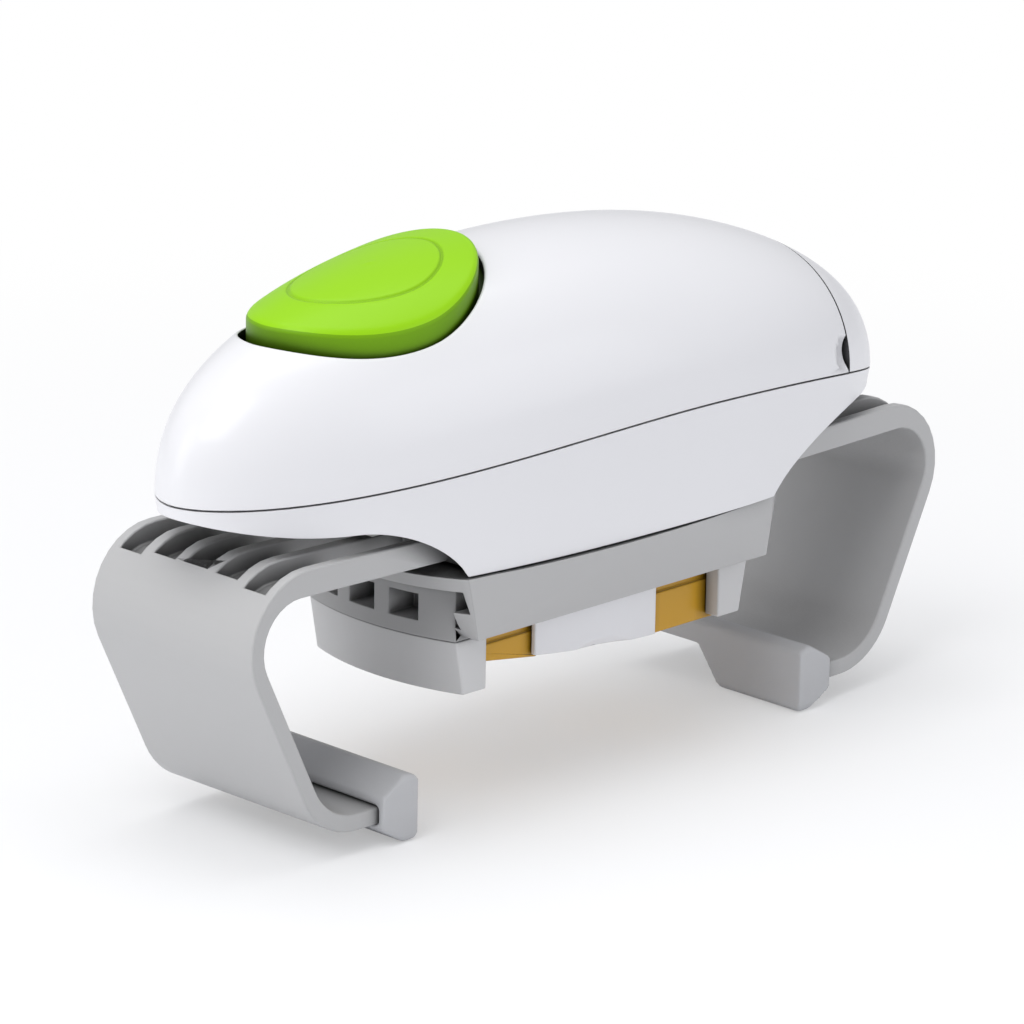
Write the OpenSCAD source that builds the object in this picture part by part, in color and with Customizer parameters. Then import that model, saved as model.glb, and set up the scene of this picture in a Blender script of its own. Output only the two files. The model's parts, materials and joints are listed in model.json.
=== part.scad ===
// Battery jar opener: an egg-shaped motor casing over a turning carrier.
// Two hooked arms slide in to hold the jar, two jaws in the carrier slide in to hold the lid.
// Frame: X along the casing (nose at -X, tail at +X), Y across it, Z up.
// The carrier turns about the Z axis, and the rubber feet stand on Z = 0. All sizes in mm.

/* [Casing] */
// Half width of the casing at its widest place
body_half_w = 32.9; // [31.5:0.1:36]
// Rise of the dome over the seam at its highest place
dome_rise = 33.5; // [32:0.1:38]
// Distance from the turning axis to the tip of the nose
nose_reach = 97.2; // [95:0.1:104]
// Distance from the turning axis to the tip of the tail
tail_reach = 90.5; // [89:0.1:98]
// Where along the casing it is widest
wide_x = 18.8; // [10:0.1:24]
// Where along the casing the dome is highest
high_x = -19.3; // [-26:0.1:-12]
// Thickness of the casing's walls
wall = 2.2; // [1.6:0.1:2.6]
// Height of the seam between the shells, at mid length
seam_mid_z = 75.2; // [74:0.1:78]
// Where the battery cover parts from the upper shell
cover_x = 64.2; // [58:0.1:66]
// Gap along the battery cover's joint
cover_gap = 0.3; // [0.3:0.05:0.6]

/* [Arms] */
// Width of an arm's strip
arm_w = 44.8; // [42:0.1:45]
// Place of the virtual outer corner at an arm's shoulder
arm_corner_x = 106; // [104:0.1:112]
// Height of the strip's upper face at the shoulder
arm_top_z = 60.4; // [60:0.1:60.6]
// Rise of the strip towards the shoulder, degrees
arm_tilt = 1.08; // [0.8:0.01:1.3]
// Slant of the leg from upright, degrees
leg_slant = 25.85; // [24:0.05:27]
// Underside of an arm's foot over the table
foot_z = 4.9; // [4:0.1:6]
// Outer radius of the shoulder bend
shoulder_r = 14.6; // [12:0.1:16]
// Outer radius of the ankle bend
ankle_r = 16; // [13:0.1:17]
// Thickness of the strip on top
strip_t = 5.4; // [4.6:0.1:5.6]
// Thickness of the leg and the foot
leg_t = 3.5; // [3:0.1:4]
// End of the foot inside its boot, from the turning axis
lip_x = 62.7; // [62:0.1:63.5]
// Inner end of the strip, from the turning axis
strip_end_x = 46; // [45:0.1:48]
// Travel of each arm towards the jar
arm_travel = 34; // [30:0.5:34]
// Slots through each strip
slot_count = 5; // [5:2:5]
// Pitch of the slots across the strip
slot_pitch = 8.6; // [8.4:0.1:8.7]
// Width of one slot
slot_w = 5.8; // [5.6:0.1:6]
// Outer end of the middle slot, from the turning axis
slot_end_x = 90.4; // [86:0.1:91]

/* [Feet] */
// Face of a rubber boot towards the jar, from the turning axis
boot_in_x = 54.7; // [54:0.1:56]
// Face of a rubber boot towards its arm
boot_out_x = 64.2; // [63:0.1:66]
// Height of a boot's top
boot_top_z = 14.1; // [13:0.1:16]
// Underside of the boot where it is cut away
boot_arch_z = 8.4; // [8:0.1:9]
// Rounding of a boot's edges
boot_r = 1.4; // [0.6:0.1:1.6]

/* [Carrier] */
// Radius that the carrier's round ends sweep
carrier_r = 53.6; // [52:0.1:54.5]
// Half width of the carrier's upper edge at the middle
carrier_half_w = 32; // [31:0.1:32.4]
// Top face of the carrier
carrier_top_z = 51.3; // [50.8:0.1:51.3]
// Lower edge of the carrier's rails
carrier_low_z = 37.5; // [36.8:0.1:38]
// Half width of the carrier at its lower edge
rail_half_w = 26; // [25.6:0.1:27]
// Half length of the carrier's lower edge
rail_half_l = 41; // [38:0.1:43]
// Thickness of the carrier's top plate
carrier_plate_t = 3.1; // [2.6:0.1:3.4]

/* [Jaws] */
// Half width of a jaw
jaw_half_w = 20.5; // [19:0.1:20.6]
// Lower edge of a jaw
jaw_low_z = 24.7; // [24:0.1:25.5]
// Height where the jaw's light plate meets its block
jaw_ledge_z = 36; // [35:0.1:36.4]
// Outer face of a jaw at its middle, from the turning axis
jaw_out_x = 45.2; // [44:0.1:46]
// Gripping face of a jaw at its middle, from the turning axis
jaw_in_x = 38.2; // [37.6:0.1:38.6]
// Inner end of a jaw's cheeks, from the turning axis
jaw_end_x = 33.1; // [32.8:0.1:33.6]
// Travel of each jaw towards the lid
jaw_travel = 14.5; // [12:0.5:14.5]
// Width of a coring pocket in a jaw's block
pocket_w = 7; // [6:0.1:8]
// Pitch of the coring pockets
pocket_pitch = 10.8; // [9.6:0.1:11.6]
// Offset of the middle pocket from the jaw's middle
pocket_shift = 1.8; // [0:0.1:2.2]
// Lower edge of the coring pockets
pocket_z = 39.2; // [38.6:0.1:40]
// Height of the coring pockets
pocket_h = 5.3; // [4.5:0.1:6]

/* [Hub] */
// Half length of the hub
hub_half_l = 17.3; // [16:0.1:18]
// Half width of the hub
hub_half_w = 19.5; // [19:0.1:20]
// Lower edge of the hub's near wall at its tail end
hub_low_z = 24.1; // [23.8:0.1:25]
// Inner end of a jaw's slide, from the turning axis
slide_in_x = 15.2; // [15.1:0.1:16]

/* [Button] */
// Widest place of the button along the casing
button_x = -46; // [-48:0.1:-44]
// Reach of the button from there towards the nose
button_nose_l = 27.6; // [26:0.1:29]
// Reach of the button from there towards the tail
button_tail_l = 23.4; // [21:0.1:24]
// Half width of the button
button_half_w = 19; // [17:0.1:20]
// How far the button stands proud at its nose end
button_proud_nose = 2.4; // [1.8:0.1:3]
// How far the button stands proud at its tail end
button_proud_tail = 3.1; // [2.6:0.1:4]
// How much further it stands proud at its sides
button_side_lift = 0.9; // [0:0.1:1.2]
// Gap beside the button
button_gap = 0.6; // [0.4:0.05:0.9]
// Gap at the button's nose end
button_gap_nose = 2.1; // [1:0.1:2.4]
// Gap at the button's tail end
button_gap_tail = 1.5; // [0.8:0.1:1.8]
// Travel of the button
button_travel = 1.2; // [0.8:0.1:1.4]

/* [Drive] */
// Radius of the drive shaft
shaft_r = 3; // [2.5:0.1:3.2]
// Radius of the pins of the idle gears
pin_r = 1.5; // [1.2:0.1:1.8]
// Radial running clearance on shaft and pins
run_fit = 0.05; // [0.03:0.01:0.08]
// Tooth module of the gear train
train_m = 0.7; // [0.7:0.01:0.7]
// Teeth of the small gears in the train
train_small = 14; // [14:1:14]
// Teeth of the gear that the motor drives
gear_1_teeth = 44; // [44:1:44]
// Teeth of the second idle gear
gear_2_teeth = 42; // [42:1:42]
// Teeth of the gear on the drive shaft
final_teeth = 46; // [46:1:46]
// Face width of the large gears
gear_t = 3; // [2.6:0.1:3.2]
// Tooth module of the racks and their pinions
rack_m = 1; // [1:0.01:1]
// Teeth of the pinion between the arms' racks
arm_pinion_teeth = 14; // [14:2:14]
// Teeth of the pinion between the jaws' racks
jaw_pinion_teeth = 12; // [12:2:12]
// Radius of the motor can
motor_r = 12; // [11:0.1:12.4]

/* [Cells] */
// Radius of a cell
cell_r = 7.2; // [7:0.05:7.25]
// Length of a cell without its button
cell_l = 49.2; // [48:0.1:49.4]
// Height of the cells' axes
cell_z = 77.8; // [77.6:0.1:78.4]
// Half the distance between the cells' axes
cell_half_pitch = 7.6; // [7.5:0.05:7.8]

/* [Hidden] */
$fn = 72;
slack = 0.3;             // gap between parts that slide or only lie side by side
cut = 1;                 // overshoot of cutting shapes
white = "whitesmoke";
grey = "silver";

// ---- Casing form ----
// Curves of the plan and of the dome: powers of the fall towards the nose and the tail.
plan_nose = [2.4, 1.91];
plan_tail = [2.2, 2.04];
dome_nose = [2.84, 2.34];
dome_tail = [1.63, 3.0];
section_power = 2.11;
// The seam's height along the casing: tilt, bow and droop over its half length.
seam_tilt = 3.05;
seam_bow = 7.5;
seam_droop = 5.7;
mid_x = (tail_reach - nose_reach) / 2;
half_l = (tail_reach + nose_reach) / 2;

function fall(x, peak, end, p) =
    pow(max(0, 1 - pow(min(1, abs((x - peak) / (end - peak))), p[0])), 1 / p[1]);
function half_w(x, inset = 0) = (body_half_w - inset) * (x < wide_x
    ? fall(x, wide_x, inset - nose_reach, plan_nose) : fall(x, wide_x, tail_reach - inset, plan_tail));
function rise(x, inset = 0) = (dome_rise - inset) * (x < high_x
    ? fall(x, high_x, inset - nose_reach, dome_nose) : fall(x, high_x, tail_reach - inset, dome_tail));
function seam_z(x) = let (u = (x - mid_x) / half_l)
    seam_mid_z + seam_tilt * u - seam_bow * u * u - seam_droop * u * u * u;
function dome_z(x, y, inset = 0) = seam_z(x) + rise(x, inset)
    * pow(max(0, 1 - pow(min(1, abs(y) / max(half_w(x, inset), 0.01)), section_power)), 1 / section_power);
function signed_power(v, p) = sign(v) * pow(abs(v), p);

// One skin of the dome from x0 to x1: rows of points from the +Y rim over the top to the -Y rim.
// A row at the nose or the tail is a single point.
rows = 40;
arcs = 18;
function is_tip(x, inset) = x <= inset - nose_reach + 0.01 || x >= tail_reach - inset - 0.01;
function row_x(i, x0, x1) = let (mid = (x0 + x1) / 2, a0 = is_tip(x0, wall) ? 0 : 90, a1 = is_tip(x1, wall) ? 180 : 90)
    let (a = a0 + (a1 - a0) * i / rows, c0 = cos(a0), c1 = cos(a1))
    x0 + (x1 - x0) * (c0 - cos(a)) / (c0 - c1);
function skin_row(x, inset) = is_tip(x, inset) ? [[x, 0, seam_z(x)]] : [for (j = [0:arcs])
    let (a = 180 * j / arcs)
    [x, half_w(x, inset) * signed_power(cos(a), 2 / section_power),
        seam_z(x) + rise(x, inset) * pow(abs(sin(a)), 2 / section_power)]];
function skin_points(x0, x1, inset) =
    [for (i = [0:rows]) each skin_row(row_x(i, x0, x1), inset)];

// A shell of the dome between x0 and x1, open below and at any end that isn't a tip.
module dome_shell(x0, x1) {
    tip0 = is_tip(x0, 0);
    tip1 = is_tip(x1, 0);
    inner_x0 = tip0 ? x0 + wall : x0;
    inner_x1 = tip1 ? x1 - wall : x1;
    outer = skin_points(x0, x1, 0);
    inner = skin_points(inner_x0, inner_x1, wall);
    n = len(outer);
    function id(i, j) = tip0 && i == 0 ? 0 : tip1 && i == rows ? n - 1
        : (tip0 ? 1 : 0) + (i - (tip0 ? 1 : 0)) * (arcs + 1) + j;
    skin = [for (i = [0:rows - 1], j = [0:arcs - 1]) each [
        if (!(tip1 && i == rows - 1)) [id(i, j), id(i + 1, j), id(i + 1, j + 1)],
        if (!(tip0 && i == 0)) [id(i, j), id(i + 1, j + 1), id(i, j + 1)]]];
    lining = [for (f = skin) [f[0] + n, f[2] + n, f[1] + n]];
    rim = [for (i = [0:rows - 1]) each [
        [id(i, 0), id(i, 0) + n, id(i + 1, 0) + n], [id(i, 0), id(i + 1, 0) + n, id(i + 1, 0)],
        [id(i, arcs), id(i + 1, arcs), id(i + 1, arcs) + n],
        [id(i, arcs), id(i + 1, arcs) + n, id(i, arcs) + n]]];
    mouth0 = tip0 ? [] : [for (j = [0:arcs - 1]) each [
        [id(0, j), id(0, j + 1), id(0, j + 1) + n], [id(0, j), id(0, j + 1) + n, id(0, j) + n]]];
    mouth1 = tip1 ? [] : [for (j = [0:arcs - 1]) each [
        [id(rows, j), id(rows, j + 1) + n, id(rows, j + 1)],
        [id(rows, j), id(rows, j) + n, id(rows, j + 1) + n]]];
    polyhedron(points = concat(outer, inner),
        faces = concat(skin, lining, rim, mouth0, mouth1), convexity = 6);
}

// Plan outline of the casing at an inset, between two stations, as a closed list of points.
function plan_outline(x0, x1, inset, steps = 24) = let (s = [for (i = [0:steps]) x0 + (x1 - x0) * i / steps])
    concat([for (x = s) [x, -half_w(x, inset)]], [for (i = [steps:-1:0]) [s[i], half_w(s[i], inset)]]);

// ---- Lower shell: a wall below the seam, whose lower edge arches up over each arm ----
skirt_z = carrier_top_z + slack;
nose_arch_x = -70;           // where the arch over the left arm starts
nose_skirt_x = -46.2;        // where it comes down to the skirt
tail_arch_x = 72;
tail_skirt_x = 38.2;
nose_lip_z = 63.6;
tail_lip_z = 63.8;
nose_lip_rise = 4;           // how much the lip rises from the arch to the nose's tip
lip_min = 2.4;               // least height of the wall at the tail's tip
arch_p = [1.8, 1.35];
tuck = 1.6;                  // how far the wall draws in below the seam
tuck_run = 6;
function arch(x, top_x, low_x, top_z) = skirt_z + (top_z - skirt_z) * fall(x, top_x, low_x, arch_p);
function edge_z(x) = x < nose_arch_x
    ? nose_lip_z + nose_lip_rise * pow((nose_arch_x - x) / (nose_reach + nose_arch_x), 2)
    : x < nose_skirt_x ? arch(x, nose_arch_x, nose_skirt_x, nose_lip_z)
    : x < tail_skirt_x ? skirt_z
    : x < tail_arch_x ? arch(x, tail_arch_x, tail_skirt_x, tail_lip_z)
    : min(tail_lip_z, seam_z(x) - lip_min);
function draw_in(depth) = tuck * depth / (depth + tuck_run);
lip_w = 5;                   // width of the rim along the arches
lip_h = 1.6;
lip_run = 3;                 // rise of the arch over which the rim grows to that width
// Width of the rim at a point of the plan: beside the arm's strip it ends short of the strip.
function lip_width(p, edge) = let (free = body_half_w * (1 - (arm_w / 2 + slack) / max(abs(p[1]), arm_w / 2 + 1))
        - draw_in(seam_z(p[0]) - edge), beside = max(wall, min(lip_w, free)),
        over = max(0, min(1, (edge - arm_top_z - slack) / 2)))
    beside + (lip_w - beside) * over;
side_rows = 60;
levels = 8;
function side_x(i) = mid_x - half_l * cos(180 * i / side_rows);
// A point of the plan, moved inwards by d.
function moved_in(x, y, d) =
    [wide_x + (x - wide_x) * (1 - d / (x < wide_x ? nose_reach + wide_x : tail_reach - wide_x)),
        y * (1 - d / body_half_w)];
function plan_point(k) = let (i = k <= side_rows ? k : 2 * side_rows - k, x = side_x(i))
    [x, (k <= side_rows ? -1 : 1) * half_w(x)];
module lower_shell_wall() {
    loop = 2 * side_rows;
    // Rings from the seam down the outside, then from the seam down the inside, with the rim last.
    function ring(inner, l) = [for (k = [0:loop - 1])
        let (p = plan_point(k), edge = edge_z(p[0]), seam = seam_z(p[0]) - (p[0] > cover_x ? cover_gap : 0),
            run = max(0.04, min(1, (edge - skirt_z) / lip_run)),
            low = inner && l < levels ? edge + lip_h * run : edge,
            z = seam + (low - seam) * min(1, l / (inner ? levels - 2 : levels)),
            d = !inner ? 0 : l < levels - 1 ? wall : wall + (lip_width(p, edge) - wall) * run,
            q = moved_in(p[0], p[1], draw_in(seam - z) + d))
        [q[0], q[1], z]];
    points = [for (inner = [false, true], l = [0:levels]) each ring(inner, l)];
    n = loop * (levels + 1);
    function id(layer, l, k) = layer * n + l * loop + (k % loop);
    skin = [for (l = [0:levels - 1], k = [0:loop - 1]) each [
        [id(0, l, k), id(0, l, k + 1), id(0, l + 1, k + 1)],
        [id(0, l, k), id(0, l + 1, k + 1), id(0, l + 1, k)]]];
    lining = [for (f = skin) [f[0] + n, f[2] + n, f[1] + n]];
    rims = [for (k = [0:loop - 1]) each [
        [id(0, 0, k), id(1, 0, k), id(1, 0, k + 1)], [id(0, 0, k), id(1, 0, k + 1), id(0, 0, k + 1)],
        [id(0, levels, k), id(0, levels, k + 1), id(1, levels, k + 1)],
        [id(0, levels, k), id(1, levels, k + 1), id(1, levels, k)]]];
    polyhedron(points = points, faces = concat(skin, lining, rims), convexity = 6);
}
module lower_shell() { color(white) lower_shell_wall(); }

// ---- Screw places of the casing ----
screw_r = 1.4;
boss_r = 2.4;
screw_y = arm_w / 2 + slack + boss_r;
screw_places = [for (x = [-0.144 * nose_reach, 0.265 * tail_reach], s = [-1, 1]) [x, s * screw_y]];
screw_head_r = 2.3;
screw_head_t = 1.2;
screw_bite = 9;              // how far a casing screw reaches into its boss

// ---- Button ----
button_nose_p = [1.8, 1.9];
button_tail_p = [1.95, 1.85];
button_edge_r = 1;           // rounding of the button's upper edge
button_flange = 1.2;         // width of the flange under the shell
button_flange_t = 1.2;
button_angles = 40;
// A point of the button's outline at an angle, scaled by s, or grown over the gaps and then by d more.
function button_point(a, nose_l, tail_l, side_w, s) = let (p = cos(a) < 0 ? button_nose_p : button_tail_p)
    [button_x + s * (cos(a) < 0 ? nose_l : tail_l) * signed_power(cos(a), 2 / p[0]),
        s * side_w * signed_power(sin(a), 2 / p[1])];
function ring_of(nose_l, tail_l, side_w, s = 1) =
    [for (i = [0:button_angles - 1]) button_point(360 * i / button_angles, nose_l, tail_l, side_w, s)];
function button_outline(s = 1) = ring_of(button_nose_l, button_tail_l, button_half_w, s);
function opening_outline(d = 0) = ring_of(button_nose_l + button_gap_nose + d,
    button_tail_l + button_gap_tail + d, button_half_w + button_gap + d);
function button_proud(p) = button_proud_nose + (button_proud_tail - button_proud_nose)
    * (p[0] - button_x + button_nose_l) / (button_nose_l + button_tail_l)
    + button_side_lift * pow(p[1] / button_half_w, 2);
function under_z(p, drop) = dome_z(p[0], p[1], wall) - slack - drop;
module button_cap() {
    top_scales = [0.3, 0.6, 0.82, 0.95];
    top = [for (s = top_scales) each [for (p = button_outline(s))
        [p[0], p[1], dome_z(p[0], p[1]) + button_proud(p)]]];
    edge = [for (p = button_outline()) [p[0], p[1], dome_z(p[0], p[1]) + button_proud(p) - button_edge_r]];
    flange_top = [for (p = opening_outline(button_flange)) [p[0], p[1], under_z(p, 0)]];
    waist = [for (k = [0:button_angles - 1]) [edge[k][0], edge[k][1], flange_top[k][2]]];
    flange_low = [for (p = flange_top) [p[0], p[1], p[2] - button_flange_t]];
    rings = concat(top, edge, waist, flange_top, flange_low);
    count = len(rings) / button_angles;
    points = concat(rings, [[button_x, 0, dome_z(button_x, 0) + button_proud([button_x, 0])],
        [button_x, 0, under_z([button_x, 0], button_flange_t)]]);
    crown = len(rings);
    keel = crown + 1;
    function id(r, k) = r * button_angles + (k % button_angles);
    faces = concat(
        [for (k = [0:button_angles - 1]) [crown, id(0, k + 1), id(0, k)]],
        [for (r = [0:count - 2], k = [0:button_angles - 1]) each [
            [id(r, k), id(r, k + 1), id(r + 1, k + 1)], [id(r, k), id(r + 1, k + 1), id(r + 1, k)]]],
        [for (k = [0:button_angles - 1]) [keel, id(count - 1, k), id(count - 1, k + 1)]]);
    polyhedron(points = points, faces = faces, convexity = 4);
}

switch_x = -29;
switch_size = [12.8, 5.8, 6.5];
switch_top_z = 96;
plunger_r = 0.9;
plunger_out = 1.5;           // how far the plunger stands out of the switch
stem_r = 1.7;
spring_wire = 0.5;
module button() {
    color("yellowgreen") {
        button_cap();
        translate([switch_x, 0, switch_top_z + plunger_out])
            cylinder(h = under_z([switch_x, 0], 0) - switch_top_z - plunger_out, r = stem_r);
    }
}
module switch_plunger() {
    color("black") translate([switch_x, 0, switch_top_z - button_travel - slack])
        cylinder(h = plunger_out + button_travel + slack, r = plunger_r);
}
module switch_body() {
    color("dimgray") difference() {
        translate([switch_x - switch_size[0] / 2, -switch_size[1] / 2, switch_top_z - switch_size[2]])
            cube(switch_size);
        translate([switch_x, 0, switch_top_z - 2 * (button_travel + slack)])
            cylinder(h = 2 * (button_travel + slack) + cut, r = plunger_r + 2 * run_fit);
    }
}
// Return spring between the switch and the button, drawn as a tube.
spring_play = 0.8;           // the button's underside lies this much under the dome's lining
module button_spring() {
    h = under_z([switch_x, 0], button_flange_t) - spring_play - switch_top_z;
    color("lightgray") translate([switch_x, 0, switch_top_z]) difference() {
        cylinder(h = h, r = stem_r + slack + spring_wire);
        translate([0, 0, -cut]) cylinder(h = h + 2 * cut, r = stem_r + slack);
    }
}
module upper_shell() {
    color(white) difference() {
        dome_shell(-nose_reach, cover_x - cover_gap / 2);
        translate([0, 0, seam_mid_z]) linear_extrude(2 * dome_rise) polygon(opening_outline());
        for (s = [-1, 1]) finger_notch(s);
    }
    color(white) for (p = screw_places) shell_boss(p);
}
// A boss of the upper shell, which takes one casing screw.
module shell_boss(p) {
    top = dome_z(p[0], abs(p[1]) + boss_r, wall / 2);
    translate([p[0], p[1], frame_z + frame_t]) difference() {
        cylinder(h = top - frame_z - frame_t, r = boss_r);
        translate([0, 0, -cut]) cylinder(h = screw_bite + cut + slack, r = screw_r);
    }
}
// Scoop beside the cover's joint, for a fingertip.
notch_r = 7;
notch_deep = 1.1;
notch_up = 4.6;
module finger_notch(side) {
    x = cover_x - notch_deep;
    z = seam_z(x) + notch_up;
    y = half_w(x) * pow(1 - pow(notch_up / rise(x), section_power), 1 / section_power);
    translate([x, side * (y - notch_deep + notch_r), z]) sphere(r = notch_r);
}
module battery_cover() { color(white) dome_shell(cover_x + cover_gap / 2, tail_reach); }

// ---- Heights that several pieces share ----
hub_top_z = carrier_low_z + 0.3;
hub_plate_t = 2.2;           // plate of the hub that the shaft holds
base_z = skirt_z + slack;    // underside of the base plate
base_t = 1.6;
rack_z = 54.6;
rack_h = 4.2;
frame_z = arm_top_z + 0.6;   // underside of the inner frame
frame_t = 1.8;
gear_1_z = 64.4;             // large gear of the first idle pair
gear_2_z = gear_1_z + gear_t + 0.6;
final_z = gear_2_z + gear_t + 1;
plate_z = final_z + gear_t + 1.2;
plate_t = 1.6;
pinion_over = 0.4;           // how much longer a small gear is than its mate

// ---- Base plate: closes the skirt, carries the arms ----
rail_w = 3;
base_nose_x = -42;
base_tail_x = 35;
module base_plate() {
    guide_y = arm_w / 2 + slack;
    color(grey) difference() {
        union() {
            translate([0, 0, base_z]) linear_extrude(base_t)
                polygon(plan_outline(base_nose_x, base_tail_x, wall + tuck + slack));
            for (s = [-1, 1]) translate([base_nose_x, s > 0 ? guide_y : -guide_y - rail_w, base_z])
                cube([base_tail_x - base_nose_x, rail_w, frame_z - base_z]);
            for (p = screw_places) translate([p[0], p[1], base_z]) cylinder(h = frame_z - base_z, r = boss_r);
        }
        translate([0, 0, base_z - cut]) cylinder(h = base_t + 2 * cut, r = bush_r);
        for (p = screw_places) translate([p[0], p[1], base_z - cut]) {
            cylinder(h = frame_z, r = screw_r);
            cylinder(h = screw_head_t + cut, r = screw_head_r);
        }
    }
}
module casing_screws() {
    color("dimgray") for (p = screw_places) translate([p[0], p[1], base_z]) {
        cylinder(h = frame_z + frame_t + screw_bite - base_z, r = screw_r);
        cylinder(h = screw_head_t, r = screw_head_r);
    }
}

// ---- Inner frame: floor under the gears, the motor and the cells ----
nose_floor_z = 66;           // the floor steps up over the arms' shoulders
tail_floor_z = 65.6;
end_floor_t = 1.4;
nose_step_x = -62;
tail_step_x = 46;
frame_nose_x = -76;
frame_tail_x = 84;
step_half_w = 18;
post_r = 2.4;
post_places = [[-40, 15], [2, -20], [14, 20], [-50, -17.6]];
post_hole_r = 1;
module inner_frame() {
    inset = wall + tuck + 0.4;
    color("gainsboro") difference() {
        union() {
            translate([0, 0, frame_z]) linear_extrude(frame_t)
                polygon(plan_outline(base_nose_x, base_tail_x, inset));
            translate([nose_step_x, -step_half_w, frame_z])
                cube([tail_step_x - nose_step_x, 2 * step_half_w, frame_t]);
            translate([0, 0, nose_floor_z]) linear_extrude(end_floor_t)
                polygon(plan_outline(frame_nose_x, nose_step_x + frame_t, inset));
            translate([0, 0, tail_floor_z]) linear_extrude(end_floor_t)
                polygon(plan_outline(tail_step_x - frame_t, frame_tail_x, inset));
            for (e = [[nose_step_x, nose_floor_z], [tail_step_x - frame_t, tail_floor_z]])
                translate([e[0], -step_half_w, frame_z])
                    cube([frame_t, 2 * step_half_w, e[1] + end_floor_t - frame_z]);
            for (p = post_places) translate([p[0], p[1], frame_z]) cylinder(h = plate_z - frame_z, r = post_r);
        }
        translate([0, 0, frame_z - cut]) cylinder(h = frame_t + 2 * cut, r = shaft_r + slack);
        for (p = [gear_1_at, gear_2_at]) translate([p[0], p[1], frame_z - cut])
            cylinder(h = frame_t + 2 * cut, r = pin_r);
        for (p = screw_places) translate([p[0], p[1], frame_z - cut])
            cylinder(h = frame_t + 2 * cut, r = screw_r);
        for (p = post_places) translate([p[0], p[1], plate_z - 6]) cylinder(h = 6 + cut, r = post_hole_r);
    }
}

// ---- Gears ----
pressure = 25;
tip_share = 0.8;             // tooth tip over the pitch line, in modules
root_share = 1.1;            // tooth root under the pitch line, in modules
backlash = 0.16;             // total play between two meshed gears, along the pitch line
function pitch_r(m, teeth) = m * teeth / 2;
function involute(a) = tan(a) * 180 / PI - a;
// Half the angle of a tooth at radius r.
function tooth_half(m, teeth, r) = let (p = pitch_r(m, teeth), b = p * cos(pressure))
    90 / teeth - backlash / 4 / p * 180 / PI + involute(pressure) - (r > b ? involute(acos(b / r)) : 0);
flank_steps = 4;
function tooth(m, teeth, at) = let (p = pitch_r(m, teeth), low = p - root_share * m, tip = p + tip_share * m)
    concat([for (i = [0:flank_steps]) let (r = low + (tip - low) * i / flank_steps, a = at - tooth_half(m, teeth, r))
        [r * cos(a), r * sin(a)]],
        [for (i = [flank_steps:-1:0]) let (r = low + (tip - low) * i / flank_steps, a = at + tooth_half(m, teeth, r))
        [r * cos(a), r * sin(a)]]);
// A spur gear with one tooth at the angle phase.
module spur(m, teeth, h, phase) {
    linear_extrude(h) polygon([for (i = [0:teeth - 1]) each tooth(m, teeth, phase + 360 * i / teeth)]);
}
// Phase of a gear that meshes with one whose phase is given; dir points from that one to this.
function meshed(phase, teeth, own_teeth, dir) =
    dir + 180 + 180 / own_teeth - (phase - dir) * teeth / own_teeth;

final_reach = train_m * (train_small + final_teeth) / 2;
second_reach = train_m * (train_small + gear_2_teeth) / 2;
first_reach = train_m * (train_small + gear_1_teeth) / 2;
gear_2_dir = 165;            // directions from each gear to the one that drives it
gear_1_dir = 236;
motor_dir = 150;
function step(p, d, a) = [p[0] + d * cos(a), p[1] + d * sin(a)];
gear_2_at = step([0, 0], final_reach, gear_2_dir);
gear_1_at = step(gear_2_at, second_reach, gear_1_dir);
motor_at = step(gear_1_at, first_reach, motor_dir);
final_phase = gear_2_dir;
gear_2_small_phase = meshed(final_phase, final_teeth, train_small, gear_2_dir);
gear_1_small_phase = meshed(gear_2_small_phase, gear_2_teeth, train_small, gear_1_dir);
motor_phase = meshed(gear_1_small_phase, gear_1_teeth, train_small, motor_dir);

module bored(r, z, h) {
    difference() {
        children();
        translate([0, 0, z - cut]) cylinder(h = h + 2 * cut, r = r);
    }
}
module final_gear() {
    h = plate_z - slack - final_z;
    color("ivory") bored(shaft_r, final_z, h) {
        translate([0, 0, final_z]) spur(train_m, final_teeth, gear_t, final_phase);
        translate([0, 0, final_z]) cylinder(h = h, r = 2 * shaft_r);
    }
}
module idle_gear_2() {
    small_h = final_z + gear_t + pinion_over - gear_2_z;
    color("ivory") translate([gear_2_at[0], gear_2_at[1], 0]) bored(pin_r + run_fit, gear_2_z, small_h) {
        translate([0, 0, gear_2_z]) spur(train_m, gear_2_teeth, gear_t, gear_2_small_phase);
        translate([0, 0, gear_2_z]) spur(train_m, train_small, small_h, gear_2_small_phase);
    }
}
module idle_gear_1() {
    small_h = gear_2_z + gear_t + pinion_over - gear_1_z;
    color("ivory") translate([gear_1_at[0], gear_1_at[1], 0]) bored(pin_r + run_fit, gear_1_z, small_h) {
        translate([0, 0, gear_1_z]) spur(train_m, gear_1_teeth, gear_t, gear_1_small_phase);
        translate([0, 0, gear_1_z]) spur(train_m, train_small, small_h, gear_1_small_phase);
    }
}
module gear_pins() {
    color("lightsteelblue") for (p = [gear_1_at, gear_2_at]) translate([p[0], p[1], frame_z])
        cylinder(h = plate_z + plate_t - frame_z, r = pin_r);
}
module gearbox_plate() {
    corner_r = 3;
    color("gainsboro") difference() {
        translate([0, 0, plate_z]) linear_extrude(plate_t) hull() for (p = post_places)
            translate(p) circle(r = corner_r);
        for (p = post_places) translate([p[0], p[1], plate_z - cut]) cylinder(h = plate_t + 2 * cut, r = post_hole_r);
        for (p = [gear_1_at, gear_2_at]) translate([p[0], p[1], plate_z - cut])
            cylinder(h = plate_t + 2 * cut, r = pin_r);
        translate([0, 0, plate_z - cut]) cylinder(h = plate_t + 2 * cut, r = bush_r);
        translate([motor_at[0], motor_at[1], plate_z - cut]) cylinder(h = plate_t + 2 * cut, r = motor_r + slack);
    }
}
small_head_r = 1.8;
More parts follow.
